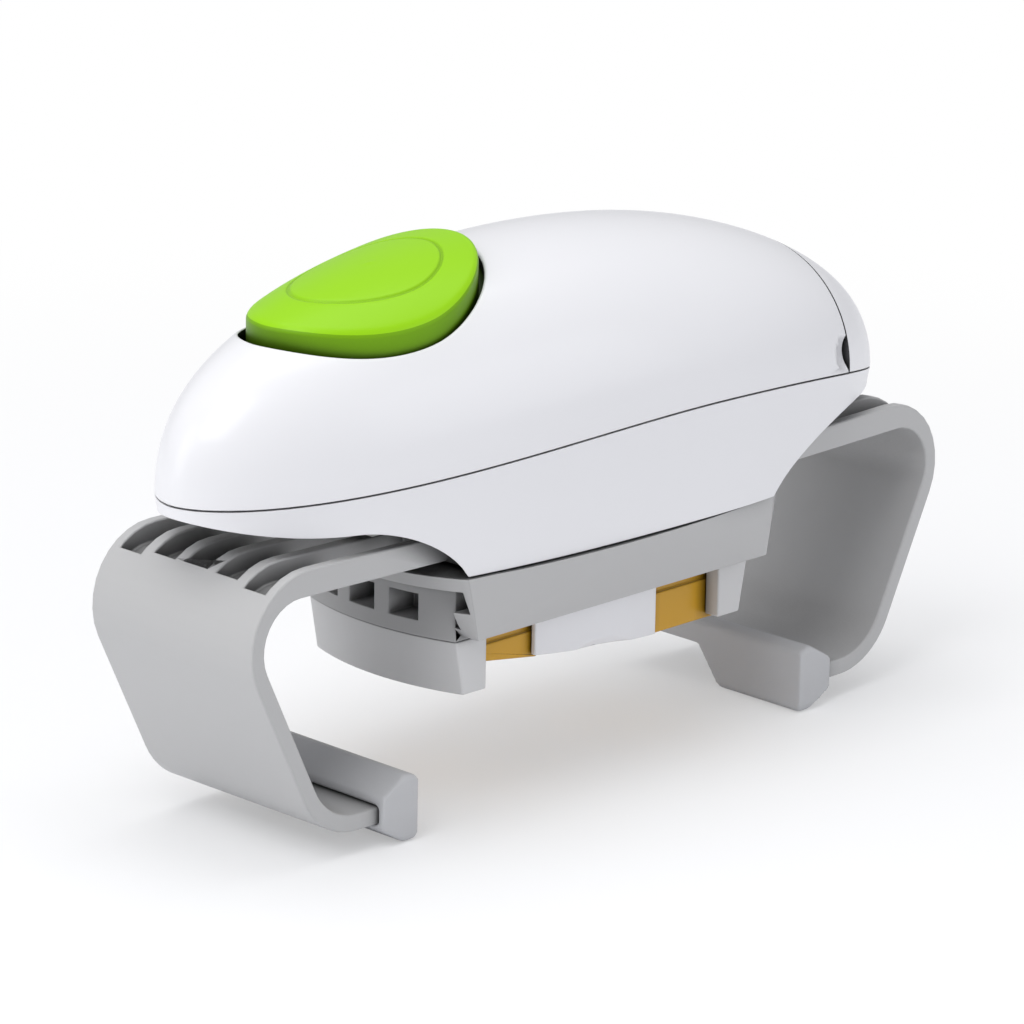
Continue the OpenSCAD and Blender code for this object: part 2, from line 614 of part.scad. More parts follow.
module gearbox_screws() {
    color("dimgray") for (p = post_places) translate([p[0], p[1], plate_z - 5]) {
        cylinder(h = plate_t + 5, r = post_hole_r);
        translate([0, 0, plate_t + 5]) cylinder(h = 1, r = small_head_r);
    }
}

// ---- Drive shaft and what turns with it ----
bush_r = shaft_r + 1.8;
shaft_low_z = hub_top_z - hub_plate_t;
shaft_top_z = plate_z + plate_t + 2.2;
groove_deep = 0.6;
clip_t = 0.7;
module drive_shaft() {
    color("lightsteelblue") difference() {
        translate([0, 0, shaft_low_z]) cylinder(h = shaft_top_z - shaft_low_z, r = shaft_r);
        translate([0, 0, plate_z + plate_t + slack]) difference() {
            cylinder(h = clip_t, r = shaft_r + cut);
            translate([0, 0, -cut]) cylinder(h = clip_t + 2 * cut, r = shaft_r - groove_deep);
        }
    }
}
module shaft_clip() {
    color("dimgray") translate([0, 0, plate_z + plate_t + slack]) difference() {
        cylinder(h = clip_t, r = bush_r);
        translate([0, 0, -cut]) cylinder(h = clip_t + 2 * cut, r = shaft_r - groove_deep);
    }
}
module bush(z, h) {
    color("goldenrod") translate([0, 0, z]) bored(shaft_r + run_fit, 0, h) cylinder(h = h, r = bush_r);
}
module upper_bush() { bush(plate_z, plate_t); }
module lower_bush() { bush(base_z, base_t); }
washer_r = 10;
module thrust_washer() {
    color("ivory") translate([0, 0, carrier_top_z]) bored(shaft_r + slack, 0, base_z - carrier_top_z)
        cylinder(h = base_z - carrier_top_z, r = washer_r);
}
module arm_pinion() {
    color("ivory") translate([0, 0, rack_z]) bored(shaft_r + run_fit, 0, rack_h)
        spur(rack_m, arm_pinion_teeth, rack_h, 90);
}
module arm_clutch_disc() {
    z = rack_z + rack_h + 0.1;
    color("saddlebrown") bored(shaft_r, z, frame_z - slack - z)
        translate([0, 0, z]) cylinder(h = frame_z - slack - z, r = pitch_r(rack_m, arm_pinion_teeth) - rack_m);
}

// ---- Motor ----
motor_z = gear_1_z + gear_t + pinion_over + 1.8;
motor_shaft_r = 1;
motor_boss_r = 3;
bracket_t = 1.2;
end_cap_t = 1.8;
end_boss_t = 1;
// Height of the button's underside over the motor's edge, towards a point of the flange's rim.
function underside_z(rim, reach) = let (keel = under_z([button_x, 0], button_flange_t),
        edge = under_z([button_x + rim[0], rim[1]], button_flange_t))
    keel + (edge - keel) * reach / norm(rim);
motor_top_z = min(
    underside_z([-button_nose_l - button_gap_nose - button_flange, 0], button_x - motor_at[0] + motor_r),
    underside_z([0, button_half_w + button_gap + button_flange], abs(motor_at[1]) + motor_r))
    - button_travel - 4 * slack;
motor_l = motor_top_z - end_cap_t - motor_z;
module motor_can() {
    color("silver") translate([motor_at[0], motor_at[1], 0]) {
        translate([0, 0, motor_z]) cylinder(h = motor_l, r = motor_r);
        translate([0, 0, motor_z - bracket_t]) cylinder(h = bracket_t, r = motor_boss_r);
    }
}
module motor_end_cap() {
    color("white") translate([motor_at[0], motor_at[1], motor_z + motor_l]) {
        cylinder(h = end_cap_t, r = motor_r - 2 * slack);
        cylinder(h = end_cap_t + end_boss_t, r = motor_r / 3);
    }
}
module motor_bracket() {
    leg = 2;                 // half width and thickness of a leg
    leg_x = -6;
    leg_y = motor_r + 2;
    foot_top = frame_z + frame_t;
    color("lightgray") translate([motor_at[0], motor_at[1], 0]) difference() {
        union() {
            translate([0, 0, motor_z - bracket_t]) cylinder(h = bracket_t, r = motor_r);
            for (s = [-1, 1]) translate([leg_x, s > 0 ? 0 : -leg_y, motor_z - bracket_t])
                cube([2 * leg, leg_y, bracket_t]);
            for (s = [-1, 1]) translate([leg_x, s > 0 ? leg_y - leg : -leg_y, foot_top])
                cube([2 * leg, leg, motor_z - foot_top]);
        }
        translate([0, 0, motor_z - bracket_t - cut]) cylinder(h = bracket_t + 2 * cut, r = motor_boss_r);
    }
}
module motor_pinion() {
    h = gear_t + pinion_over;
    color("goldenrod") translate([motor_at[0], motor_at[1], gear_1_z - pinion_over / 2]) {
        spur(train_m, train_small, h, motor_phase);
        cylinder(h = motor_z - bracket_t - slack - gear_1_z + pinion_over / 2, r = motor_shaft_r);
    }
}
module switch_bracket() {
    leg = 1.6;
    color("gainsboro") {
        translate([switch_x - switch_size[0] / 2, -switch_size[1] / 2, switch_top_z - switch_size[2] - leg])
            cube([switch_size[0], switch_size[1], leg]);
        translate([switch_x + switch_size[0] / 2 - leg, -switch_size[1] / 2, plate_z + plate_t])
            cube([leg, switch_size[1], switch_top_z - switch_size[2] - plate_z - plate_t]);
    }
}

// ---- Cells and contacts ----
tray_x0 = pitch_r(train_m, final_teeth) + 2.4;
contact_t = 0.5;
contact_r = 5;
tray_wall = 1.2;
cell_x0 = tray_x0 + tray_wall + 1.4;
cell_nub_l = 1.3;
cell_nub_r = 2.7;
cell_end_x = cell_x0 + cell_l + cell_nub_l;
tray_half_w = cell_half_pitch + cell_r + 1;
tray_floor_z = tail_floor_z + end_floor_t;
tray_top_z = 74;
tray_x1 = cover_x - cover_gap;
module battery_tray() {
    color("gainsboro") difference() {
        union() {
            translate([tray_x0, -tray_half_w, tray_floor_z])
                cube([tray_x1 - tray_x0, 2 * tray_half_w, tray_top_z - tray_floor_z]);
            translate([tray_x0, -tray_half_w, tray_floor_z])
                cube([tray_wall, 2 * tray_half_w, cell_z + cell_r / 2 - tray_floor_z]);
            translate([tray_x0, -tray_half_w, frame_z + frame_t])
                cube([tail_step_x - frame_t - slack - tray_x0, 2 * tray_half_w,
                    tray_floor_z + cut - frame_z - frame_t]);
        }
        for (s = [-1, 1]) translate([tray_x0 + tray_wall, s * cell_half_pitch, cell_z])
            rotate([0, 90, 0]) cylinder(h = tray_x1, r = cell_r + slack / 2);
    }
}
// A cell with its button towards +X (turn = 1) or towards -X (turn = -1).
module cell(y, turn) {
    mid = (cell_x0 + cell_end_x) / 2;
    translate([mid, y, cell_z]) rotate([0, 90 * turn, 0]) translate([0, 0, -(cell_end_x - cell_x0) / 2]) {
        cylinder(h = cell_l, r = cell_r);
        cylinder(h = cell_l + cell_nub_l, r = cell_nub_r);
    }
}
module near_cell() { color("darkslateblue") cell(-cell_half_pitch, 1); }
module far_cell() { color("darkslateblue") cell(cell_half_pitch, -1); }
// Plates on the tray's end wall, with the near one's spring as a short cone.
module tray_contacts() {
    x = tray_x0 + tray_wall;
    color("lightgray") for (s = [-1, 1]) translate([x, s * cell_half_pitch, cell_z]) rotate([0, 90, 0]) {
        cylinder(h = contact_t, r = contact_r);
        if (s < 0) cylinder(h = cell_x0 - x - slack, r1 = 4, r2 = 3);
    }
}
module cover_contact() {
    plate_h = 8;
    x = cell_end_x + slack;
    color("lightgray") {
        translate([x, -cell_half_pitch - 4, cell_z - plate_h / 2])
            cube([contact_t, 2 * (cell_half_pitch + 4), plate_h]);
        for (s = [-1, 1]) translate([x, s * cell_half_pitch - prong_w / 2, cell_z - prong_w])
            cube([prong_l, prong_w, prong_w]);
    }
}
prong_l = 11;              // from the plate to the cover's wall
prong_w = 1.4;
wire_r = 0.8;
// A straight run of wire between two points.
module wire(a, b) {
    d = b - a;
    translate(a) rotate([0, acos(d[2] / norm(d)), atan2(d[1], d[0])]) cylinder(h = norm(d), r = wire_r);
}
module wires() {
    motor_top = motor_top_z + wire_r + slack / 2;
    switch_side = switch_size[0] / 2 + wire_r;
    contact = [tray_x0 + tray_wall - slack, cell_half_pitch, cell_z + contact_r + wire_r];
    color("firebrick") {
        wire([motor_at[0] + 5, -3, motor_top], [switch_x - switch_side, -2, motor_top]);
        wire([switch_x + switch_side, -2, motor_top - 3], [contact[0], -contact[1], contact[2]]);
        wire([motor_at[0] + motor_r, 4, motor_top - 3], contact);
    }
}

// ---- Arms ----
arm_dir = [cos(arm_tilt), sin(arm_tilt)];
leg_lean = tan(leg_slant);
ankle_x = arm_corner_x - (arm_top_z - foot_z) * leg_lean;
function top_face_z(x, depth = 0) = arm_top_z - (arm_corner_x - x) * tan(arm_tilt) - depth / cos(arm_tilt);
function leg_face_x(z, depth = 0) = ankle_x + (z - foot_z) * leg_lean - depth / cos(leg_slant);
// Corner where the upper face and the leg's face meet, both moved in by their thickness.
function shoulder(top_in, leg_in) = let (x = leg_face_x(top_face_z(leg_face_x(arm_top_z, leg_in), top_in), leg_in))
    [x, top_face_z(x, top_in)];
function unit(v) = v / norm(v);
// Arc of radius r that rounds the corner b of the path a, b, c.
function bend(a, b, c, r, steps = 10) = let (u = unit(a - b), v = unit(c - b), half = acos(u * v) / 2,
        centre = b + unit(u + v) * r / sin(half), p = b + u * r / tan(half) - centre,
        turn = (180 - 2 * half) * (u[0] * v[1] - u[1] * v[0] > 0 ? -1 : 1))
    [for (i = [0:steps]) let (t = turn * i / steps)
        centre + [p[0] * cos(t) - p[1] * sin(t), p[0] * sin(t) + p[1] * cos(t)]];
// Path along the arm at a depth below its outer faces, from x0 on the strip to the foot's lip.
function arm_path(x0, top_in, leg_in) = let (
        a = [x0, top_face_z(x0, top_in)], b = shoulder(top_in, leg_in),
        c = [leg_face_x(foot_z + leg_in, leg_in), foot_z + leg_in], d = [lip_x, foot_z + leg_in])
    concat([a], bend(a, b, c, shoulder_r - top_in), bend(b, c, d, ankle_r - leg_in), [d]);
function backwards(v) = [for (i = [len(v) - 1:-1:0]) v[i]];
function arm_band(x0, top_out, top_in, leg_out, leg_in) =
    concat(arm_path(x0, top_out, leg_out), backwards(arm_path(x0, top_in, leg_in)));
end_bar = 4;                 // bar that joins the strip's ribs at their inner end
slot_bow = 2.1;              // the outer slots end this much further out
web_t = 1.2;                 // closes the slots below at the shoulder
rack_reach = 4;              // how far a rack reaches past the turning axis
rack_back = 4;               // height of a rack behind its teeth' pitch line
arm_rack_y = pitch_r(rack_m, arm_pinion_teeth);
function rack_outline(x0, x1, y, back) = let (p = PI * rack_m, half = p / 4 - backlash / 4, lean = tan(pressure),
        tip = tip_share * rack_m, root = root_share * rack_m,
        n0 = ceil((x0 + p / 2) / p - 0.5), n1 = floor((x1 - p / 2) / p - 0.5))
    concat([[x0, y + back], [x0, y + root]],
        [for (i = [n0:n1]) let (c = (i + 0.5) * p) each [
            [c - half - root * lean, y + root], [c - half + tip * lean, y - tip],
            [c + half - tip * lean, y - tip], [c + half + root * lean, y + root]]],
        [[x1, y + root], [x1, y + back]]);
module arm_slab(w, outline) { translate([0, w / 2, 0]) rotate([90, 0, 0]) linear_extrude(w) polygon(outline); }
// The arm on the +X side. Its rack runs on the -Y side of the pinion. Inside the casing its slots are open
// below, where the other arm's rack comes through. From there to the shoulder a web makes them pockets.
module arm() {
    half = (slot_count - 1) / 2;
    web_x = 2 * arm_travel + rack_reach + 4 * slack;
    difference() {
        arm_slab(arm_w, arm_band(strip_end_x, 0, strip_t, 0, leg_t));
        difference() {
            for (i = [-half:half])
                let (y = i * slot_pitch, out = slot_end_x + slot_bow * pow(y / (arm_w / 2), 2))
                translate([strip_end_x + end_bar, y - slot_w / 2, arm_top_z - 2 * strip_t])
                    cube([out - strip_end_x - end_bar, slot_w, 4 * strip_t]);
            arm_slab(arm_w + 2 * cut,
                arm_band(web_x, strip_t - web_t, strip_t + leg_t, leg_t - web_t, 2 * leg_t));
        }
        translate([strip_end_x - cut, slot_pitch - slot_w / 2, arm_top_z - 2 * strip_t])
            cube([end_bar + 2 * cut, slot_w, 4 * strip_t]);
    }
    translate([0, 0, rack_z]) linear_extrude(rack_h) mirror([0, 1])
        polygon(rack_outline(-rack_reach, strip_end_x + end_bar / 2, arm_rack_y, rack_back));
}
module right_arm() { color(grey) arm(); }
// The left arm is the right one turned half round, so that its rack runs on the other side.
module left_arm() { color(grey) rotate([0, 0, 180]) arm(); }

// ---- Boots ----
boot_t = boot_out_x - boot_in_x;
boot_half_l = arm_w / 2 + 1.6;
boot_lobe_y = -1.6;          // the lobe that reaches the table ends here
boot_arch_y = 4.6;           // and the cut-away part starts here
boot_slope = 3.8;            // how much the side towards the arm falls off, above and below
groove_play = 0.15;
module eased(r) { offset(r = r) offset(delta = -r) children(); }
module boot() {
    difference() {
        intersection() {
            translate([0, boot_half_l, 0]) rotate([90, 0, 0]) linear_extrude(2 * boot_half_l) eased(boot_r)
                polygon([[boot_in_x, 0], [boot_in_x + boot_t / 3, 0], [boot_out_x, boot_slope],
                    [boot_out_x, boot_top_z - boot_slope], [boot_in_x + boot_t / 3, boot_top_z],
                    [boot_in_x, boot_top_z - 1]]);
            translate([boot_out_x + cut, 0, 0]) rotate([90, 0, -90]) mirror([1, 0, 0])
                linear_extrude(boot_t + 2 * cut) eased(boot_r)
                polygon([[-boot_half_l, 0], [boot_lobe_y, 0], [boot_arch_y, boot_arch_z],
                    [boot_half_l, boot_arch_z], [boot_half_l, boot_top_z], [-boot_half_l, boot_top_z]]);
        }
        translate([lip_x - groove_play, -arm_w / 2 - groove_play, foot_z - groove_play])
            cube([boot_t, arm_w + 2 * groove_play, leg_t + 2 * groove_play]);
    }
}
module right_boot() { color("slategray") boot(); }
module left_boot() { color("slategray") mirror([1, 0, 0]) boot(); }
// Rubber pads at the far side: one under the right foot, one under the cut-away part of the left boot.
bumper_y = 9;
bumper_r = 3;
module bumper(x, h) { translate([x, bumper_y, 0]) cylinder(h = h, r = bumper_r); }
module right_foot_bumper() { color("slategray") bumper(lip_x + 7, foot_z); }
module left_foot_bumper() { color("slategray") bumper(-boot_in_x - 4, boot_arch_z); }

// ---- Carrier ----
carrier_cut = 48.8;          // reach of the two cut corners from the turning axis
skin_t = 0.1;                // thin slabs that the carrier's slanted sides join
carrier_bow = 3.4;           // how much the sides bow out at mid length
channel_half_w = 22.8;       // where the jaws' flanges run
upper_half_w = 26;           // above them
upper_z = 43.4;
lip_t = 1.9;
lip_half_w = 20.9;
carrier_plan_r = (pow(rail_half_l, 2) + pow(carrier_bow, 2)) / (2 * carrier_bow);
module carrier_plan() {
    intersection() {
        circle(r = carrier_r, $fn = 120);
        translate([0, carrier_plan_r - carrier_half_w]) circle(r = carrier_plan_r, $fn = 240);
        translate([0, carrier_half_w - carrier_plan_r]) circle(r = carrier_plan_r, $fn = 240);
        rotate(-45) square([2 * carrier_cut, 4 * carrier_r], center = true);
    }
}
module carrier() {
    channel_z = carrier_low_z + lip_t;
    plate_low_z = carrier_top_z - carrier_plate_t;
    color(grey) difference() {
        hull() {
            translate([0, 0, carrier_top_z - skin_t]) linear_extrude(skin_t) carrier_plan();
            translate([-rail_half_l, -rail_half_w, carrier_low_z])
                cube([2 * rail_half_l, 2 * rail_half_w, skin_t]);
        }
        translate([-carrier_r - cut, -channel_half_w, channel_z])
            cube([2 * (carrier_r + cut), 2 * channel_half_w, plate_low_z - channel_z]);
        translate([-carrier_r - cut, -upper_half_w, upper_z])
            cube([2 * (carrier_r + cut), 2 * upper_half_w, plate_low_z - upper_z]);
        translate([-carrier_r - cut, -lip_half_w, carrier_low_z - cut])
            cube([2 * (carrier_r + cut), 2 * lip_half_w, lip_t + 2 * cut]);
        translate([0, 0, plate_low_z - cut]) cylinder(h = carrier_plate_t + 2 * cut, r = shaft_r);
        for (s = [-1, 1]) translate([0, s * hub_post_y, plate_low_z - cut])
            cylinder(h = hub_screw_bite + slack + cut, r = hub_screw_r);
    }
}

// ---- Hub ----
hub_wall = 1.2;
hub_bow = 1.3;               // how much its long walls bow out
hub_slope = 3.3;             // rise of a wall's lower edge over the hub's length
hub_post_y = 14.6;
hub_post_r = 2.9;
hub_screw_r = 1.3;
hub_screw_bite = 2;
hub_head_r = 2.4;
hub_head_t = 1.2;
scoop_half_w = 9.4;          // a scoop at the middle of each long wall's lower edge
scoop_h = 2.2;
scoop_deep = 1.2;            // into the wall, at its lower edge
scoop_r = (pow(scoop_half_w, 2) + pow(scoop_h, 2)) / (2 * scoop_h);
scoop_off = (pow(scoop_r, 2) - pow(scoop_r - scoop_h, 2) - pow(scoop_deep, 2)) / (2 * scoop_deep);
hub_inside_w = hub_half_w - hub_bow - hub_wall;
hub_plan_r = (pow(hub_half_l, 2) + pow(hub_bow, 2)) / (2 * hub_bow);
module hub_arc(s) { translate([0, s * (hub_plan_r - hub_half_w)]) circle(r = hub_plan_r, $fn = 240); }
// A channel, open below and at both ends. Each long wall's lower edge rises from one end to the other.
module hub_body() {
    difference() {
        translate([0, 0, hub_low_z]) linear_extrude(hub_top_z - hub_low_z) intersection() {
            square([2 * hub_half_l, 2 * hub_half_w], center = true);
            hub_arc(-1);
            hub_arc(1);
        }
        translate([-hub_half_l - cut, -hub_inside_w, hub_low_z - cut])
            cube([2 * (hub_half_l + cut), 2 * hub_inside_w, hub_top_z - hub_plate_t - hub_low_z + cut]);
        for (a = [0, 180]) rotate([0, 0, a]) {
            rotate([90, 0, 0]) linear_extrude(hub_half_w + cut)
                polygon([[-hub_half_l - cut, hub_low_z - cut], [hub_half_l, hub_low_z - cut],
                    [hub_half_l, hub_low_z], [-hub_half_l - cut, hub_low_z + hub_slope]]);
            translate([0, -hub_half_w - scoop_off, hub_low_z + hub_slope / 2 - scoop_r + scoop_h])
                sphere(r = norm([scoop_r, scoop_off]), $fn = 120);
        }
    }
}
module hub() {
    plate_low_z = carrier_top_z - carrier_plate_t;
    hub_plate_z = hub_top_z - hub_plate_t;
    color(white) difference() {
        union() {
            hub_body();
            for (s = [-1, 1]) translate([0, s * hub_post_y, hub_plate_z])
                cylinder(h = plate_low_z - hub_plate_z, r = hub_post_r);
        }
        translate([0, 0, hub_plate_z - cut]) cylinder(h = hub_plate_t + 2 * cut, r = shaft_r);
        for (s = [-1, 1]) translate([0, s * hub_post_y, hub_plate_z - cut]) {
            cylinder(h = carrier_top_z - hub_plate_z, r = hub_screw_r);
            cylinder(h = hub_head_t + cut, r = hub_head_r);
        }
    }
}
module hub_screws() {
    hub_plate_z = hub_top_z - hub_plate_t;
    color("dimgray") for (s = [-1, 1]) translate([0, s * hub_post_y, hub_plate_z]) {
        cylinder(h = carrier_top_z - carrier_plate_t + hub_screw_bite - hub_plate_z, r = hub_screw_r);
        cylinder(h = hub_head_t, r = hub_head_r);
    }
}
module jaw_pinion() {
    color("ivory") translate([0, 0, jaw_rack_z]) bored(shaft_r + run_fit, 0, jaw_rack_h)
        spur(rack_m, jaw_pinion_teeth, jaw_rack_h, 90);
}
module jaw_clutch_disc() {
    z = jaw_rack_z + jaw_rack_h + 0.1;
    h = carrier_top_z - carrier_plate_t - z;
    color("saddlebrown") bored(shaft_r, z, h) translate([0, 0, z])
        cylinder(h = h, r = pitch_r(rack_m, jaw_pinion_teeth) - 1.4 * rack_m);
}

// ---- Jaws ----
slide_half_w = hub_inside_w - slack;
jaw_rack_z = 40.2;
jaw_rack_h = 3.8;
jaw_rack_y = pitch_r(rack_m, jaw_pinion_teeth);
flange_t = 2.2;
block_top_z = carrier_top_z - carrier_plate_t - slack;
jaw_taper = 2;             // how much the outer face draws in towards the lower edge
jaw_end_drop = 3.7;          // how much the outer face falls back at the jaw's ends
jaw_out_r = (pow(jaw_half_w, 2) + pow(jaw_end_drop, 2)) / (2 * jaw_end_drop);
cheek_w = jaw_half_w - slide_half_w - slack / 2;  // the jaw's ends reach past the slide's sides
grip_drop = 1.7;             // how much the gripping face curves in towards the cheeks
grip_r = (pow(slide_half_w, 2) + pow(grip_drop, 2)) / (2 * grip_drop);
// The light plate of the jaw on the +X side.
module jaw() {
    difference() {
        intersection() {
            translate([jaw_out_x - jaw_out_r, 0, jaw_low_z])
                cylinder(h = jaw_ledge_z - jaw_low_z, r1 = jaw_out_r - jaw_taper, r2 = jaw_out_r);
            translate([jaw_end_x, -jaw_half_w, jaw_low_z - cut])
                cube([jaw_out_x, 2 * jaw_half_w, jaw_ledge_z - jaw_low_z + 2 * cut]);
        }
        intersection() {
            translate([jaw_in_x - grip_r, 0, jaw_low_z - cut]) cylinder(h = jaw_ledge_z, r = grip_r, $fn = 180);
            translate([0, cheek_w - jaw_half_w, 0])
                cube([jaw_out_x, 2 * (jaw_half_w - cheek_w), jaw_ledge_z + cut]);
        }
    }
}
module right_jaw() { color("lightgray") jaw(); }
module left_jaw() { color("lightgray") rotate([0, 0, 180]) jaw(); }
// The block that carries the jaw in the carrier's channel, with its pockets and its rack.
module jaw_block() {
    pocket_deep = 7;
    lap = 1.5;               // room for the tip of the other jaw's rack
    difference() {
        union() {
            intersection() {
                translate([jaw_out_x - jaw_out_r, 0, jaw_ledge_z])
                    cylinder(h = block_top_z - jaw_ledge_z, r = jaw_out_r + 0.3);
                translate([jaw_end_x, -jaw_half_w, jaw_ledge_z])
                    cube([jaw_out_x, 2 * jaw_half_w, block_top_z - jaw_ledge_z]);
            }
            translate([jaw_end_x, -channel_half_w + slack, carrier_low_z + lip_t + slack])
                cube([jaw_out_x - jaw_end_drop - jaw_end_x, 2 * (channel_half_w - slack), flange_t]);
        }
        for (i = [-1:1]) translate([jaw_out_x - pocket_deep, i * pocket_pitch - pocket_shift - pocket_w / 2, pocket_z])
            cube([jaw_out_r, pocket_w, pocket_h]);
        translate([jaw_end_x - cut, jaw_rack_y - 2 * tip_share * rack_m, jaw_rack_z - slack])
            cube([lap + cut, rack_back + 4 * tip_share * rack_m, jaw_rack_h + 2 * slack]);
    }
    translate([0, 0, jaw_rack_z]) linear_extrude(jaw_rack_h) mirror([0, 1])
        polygon(rack_outline(-rack_reach, jaw_end_x + cut, jaw_rack_y, rack_back));
}
module right_jaw_block() { color("gray") jaw_block(); }
module left_jaw_block() { color("gray") rotate([0, 0, 180]) jaw_block(); }
// The amber slide, which runs into the hub as the jaw closes. Its underside rises across and outwards,
// and its sides step in above a ledge.
slide_low_z = hub_low_z - 0.5;
slide_rise = [2.8, 6.3];     // rise of the underside across the slide, at its inner and its outer end
slide_ledge_z = hub_low_z + 8;
slide_ledge_w = 0.5;
module jaw_slide() {
    top = hub_top_z - hub_plate_t - slack;
    difference() {
        intersection() {
            hull() for (i = [0, 1]) translate([i == 0 ? slide_in_x : jaw_in_x - skin_t, 0, 0])
                rotate([90, 0, 90]) linear_extrude(skin_t)
                    polygon([[-slide_half_w, slide_low_z], [slide_half_w, slide_low_z + slide_rise[i]],
                        [slide_half_w, top], [-slide_half_w, top]]);
            translate([jaw_in_x - grip_r, 0, 0]) cylinder(h = carrier_top_z, r = grip_r, $fn = 180);
        }
        for (s = [-1, 1]) translate([slide_in_x - cut, s * slide_half_w - slide_ledge_w, slide_ledge_z])
            cube([jaw_in_x, 2 * slide_ledge_w, top]);
    }
}
module right_jaw_slide() { color("goldenrod") jaw_slide(); }
module left_jaw_slide() { color("goldenrod") rotate([0, 0, 180]) jaw_slide(); }

upper_shell();
lower_shell();
battery_cover();
cover_contact();
base_plate();
inner_frame();
gearbox_plate();
casing_screws();
gearbox_screws();
button();
switch_plunger();
button_spring();
switch_body();
switch_bracket();
motor_can();
motor_end_cap();
motor_bracket();
motor_pinion();
idle_gear_1();
idle_gear_2();
gear_pins();
final_gear();
drive_shaft();
shaft_clip();
upper_bush();
lower_bush();
thrust_washer();
arm_pinion();
arm_clutch_disc();
battery_tray();
near_cell();
far_cell();
tray_contacts();
wires();
left_arm();
right_arm();
left_boot();
right_boot();
left_foot_bumper();
right_foot_bumper();
carrier();
hub();
hub_screws();
jaw_pinion();
jaw_clutch_disc();
left_jaw();
right_jaw();
left_jaw_block();
right_jaw_block();
left_jaw_slide();
right_jaw_slide();
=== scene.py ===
# %% [markdown]
# # A battery jar opener, dressed for its portrait
# The solids of this object come packed as a frame: every part is already in its true place, in metres.
# This lesson gives those parts their looks. The smooth casing is drawn again with finer curves,
# the moulded parts get rounded edges, and every surface gets a finish made of nodes.
# The solids themselves are never moved, so what is drawn here still fits the mechanism inside.

import json
import math

import bmesh
import bpy
from mathutils import Matrix, Vector


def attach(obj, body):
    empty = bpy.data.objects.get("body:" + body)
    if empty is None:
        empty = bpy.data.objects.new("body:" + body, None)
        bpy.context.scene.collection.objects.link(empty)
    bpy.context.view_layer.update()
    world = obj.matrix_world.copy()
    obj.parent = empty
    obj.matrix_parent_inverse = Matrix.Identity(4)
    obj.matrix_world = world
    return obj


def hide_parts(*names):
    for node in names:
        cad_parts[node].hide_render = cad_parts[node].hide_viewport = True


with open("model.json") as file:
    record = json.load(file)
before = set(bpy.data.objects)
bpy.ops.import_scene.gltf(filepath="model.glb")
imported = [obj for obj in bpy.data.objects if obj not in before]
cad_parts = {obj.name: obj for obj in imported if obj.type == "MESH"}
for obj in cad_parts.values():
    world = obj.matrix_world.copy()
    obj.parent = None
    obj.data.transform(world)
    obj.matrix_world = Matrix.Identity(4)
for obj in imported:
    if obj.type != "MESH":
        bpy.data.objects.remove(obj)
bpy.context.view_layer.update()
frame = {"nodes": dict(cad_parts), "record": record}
record = frame["record"]
MM = 0.001

# %% [markdown]
# ## Camera
# The photograph was taken with a long lens, slightly above the object and from its nose quarter.
# A camera could be turned by three angles, but a roll about the line of sight is easier to write
# with directions. A camera in Blender looks along its own -Z, so its matrix is built from three
# of them: right, up and backwards.

# %% Camera
yaw, pitch, roll = math.radians(-45.74), math.radians(16.97), math.radians(1.01)
stand = Vector((-819.96, -793.43, 397.22)) * MM
forward = Vector((-math.sin(yaw) * math.cos(pitch), math.cos(yaw) * math.cos(pitch), -math.sin(pitch)))
level = Vector((math.cos(yaw), math.sin(yaw), 0))
upright = level.cross(forward)
right = level * math.cos(roll) + upright * math.sin(roll)
up = upright * math.cos(roll) - level * math.sin(roll)
camera_data = bpy.data.cameras.new("camera")
camera_data.lens = 210.95
camera_data.sensor_width = 36
camera_data.clip_end = 20
camera = bpy.data.objects.new("camera", camera_data)
bpy.context.scene.collection.objects.link(camera)
turn = Matrix((right, up, -forward)).transposed().to_4x4()
camera.matrix_world = Matrix.Translation(stand) @ turn
bpy.context.scene.camera = camera
print("camera", [round(v, 3) for v in camera.location])

# %% [markdown]
# ## Writing shaders as sums
# A material is a graph of nodes. Building one by hand takes a line for every node and link.
# Here a small class wraps one output socket, and Python's own operators add the Math nodes,
# so that a mask can be written as `1 - grain * 0.2`.

# %% Values and finishes
class Value:
    """One output in a material. Sums and products with it add Math nodes."""

    def __init__(self, finish, socket):
        self.finish, self.socket = finish, socket

    def maths(self, operation, *values):
        return self.finish.node("ShaderNodeMath", {"operation": operation}, dict(enumerate(values)))

    def __add__(self, other):
        return self.maths("ADD", self, other)

    def __sub__(self, other):
        return self.maths("SUBTRACT", self, other)

    def __rsub__(self, other):
        return self.maths("SUBTRACT", other, self)

    def __mul__(self, other):
        return self.maths("MULTIPLY", self, other)

    __radd__, __rmul__ = __add__, __mul__


class Finish:
    """A material under construction, with its Principled shader."""

    def __init__(self, name):
        self.material = bpy.data.materials.new(name)
        self.material.use_nodes = True
        self.tree = self.material.node_tree
        self.shader = self.tree.nodes["Principled BSDF"]

    def feed(self, socket, value):
        if isinstance(value, Value):
            self.tree.links.new(value.socket, socket)
        elif isinstance(value, (tuple, list)) and socket.type == "RGBA":
            socket.default_value = (*value[:3], 1)
        else:
            socket.default_value = value

    def node(self, kind, settings=None, inputs=None, output=0):
        made = self.tree.nodes.new(kind)
        for key, value in (settings or {}).items():
            setattr(made, key, value)
        for key, value in (inputs or {}).items():
            self.feed(made.inputs[key], value)
        return Value(self, made.outputs[output])

    def set(self, **values):
        for key, value in values.items():
            self.feed(self.shader.inputs[key.replace("_", " ")], value)


print("shader helpers ready")

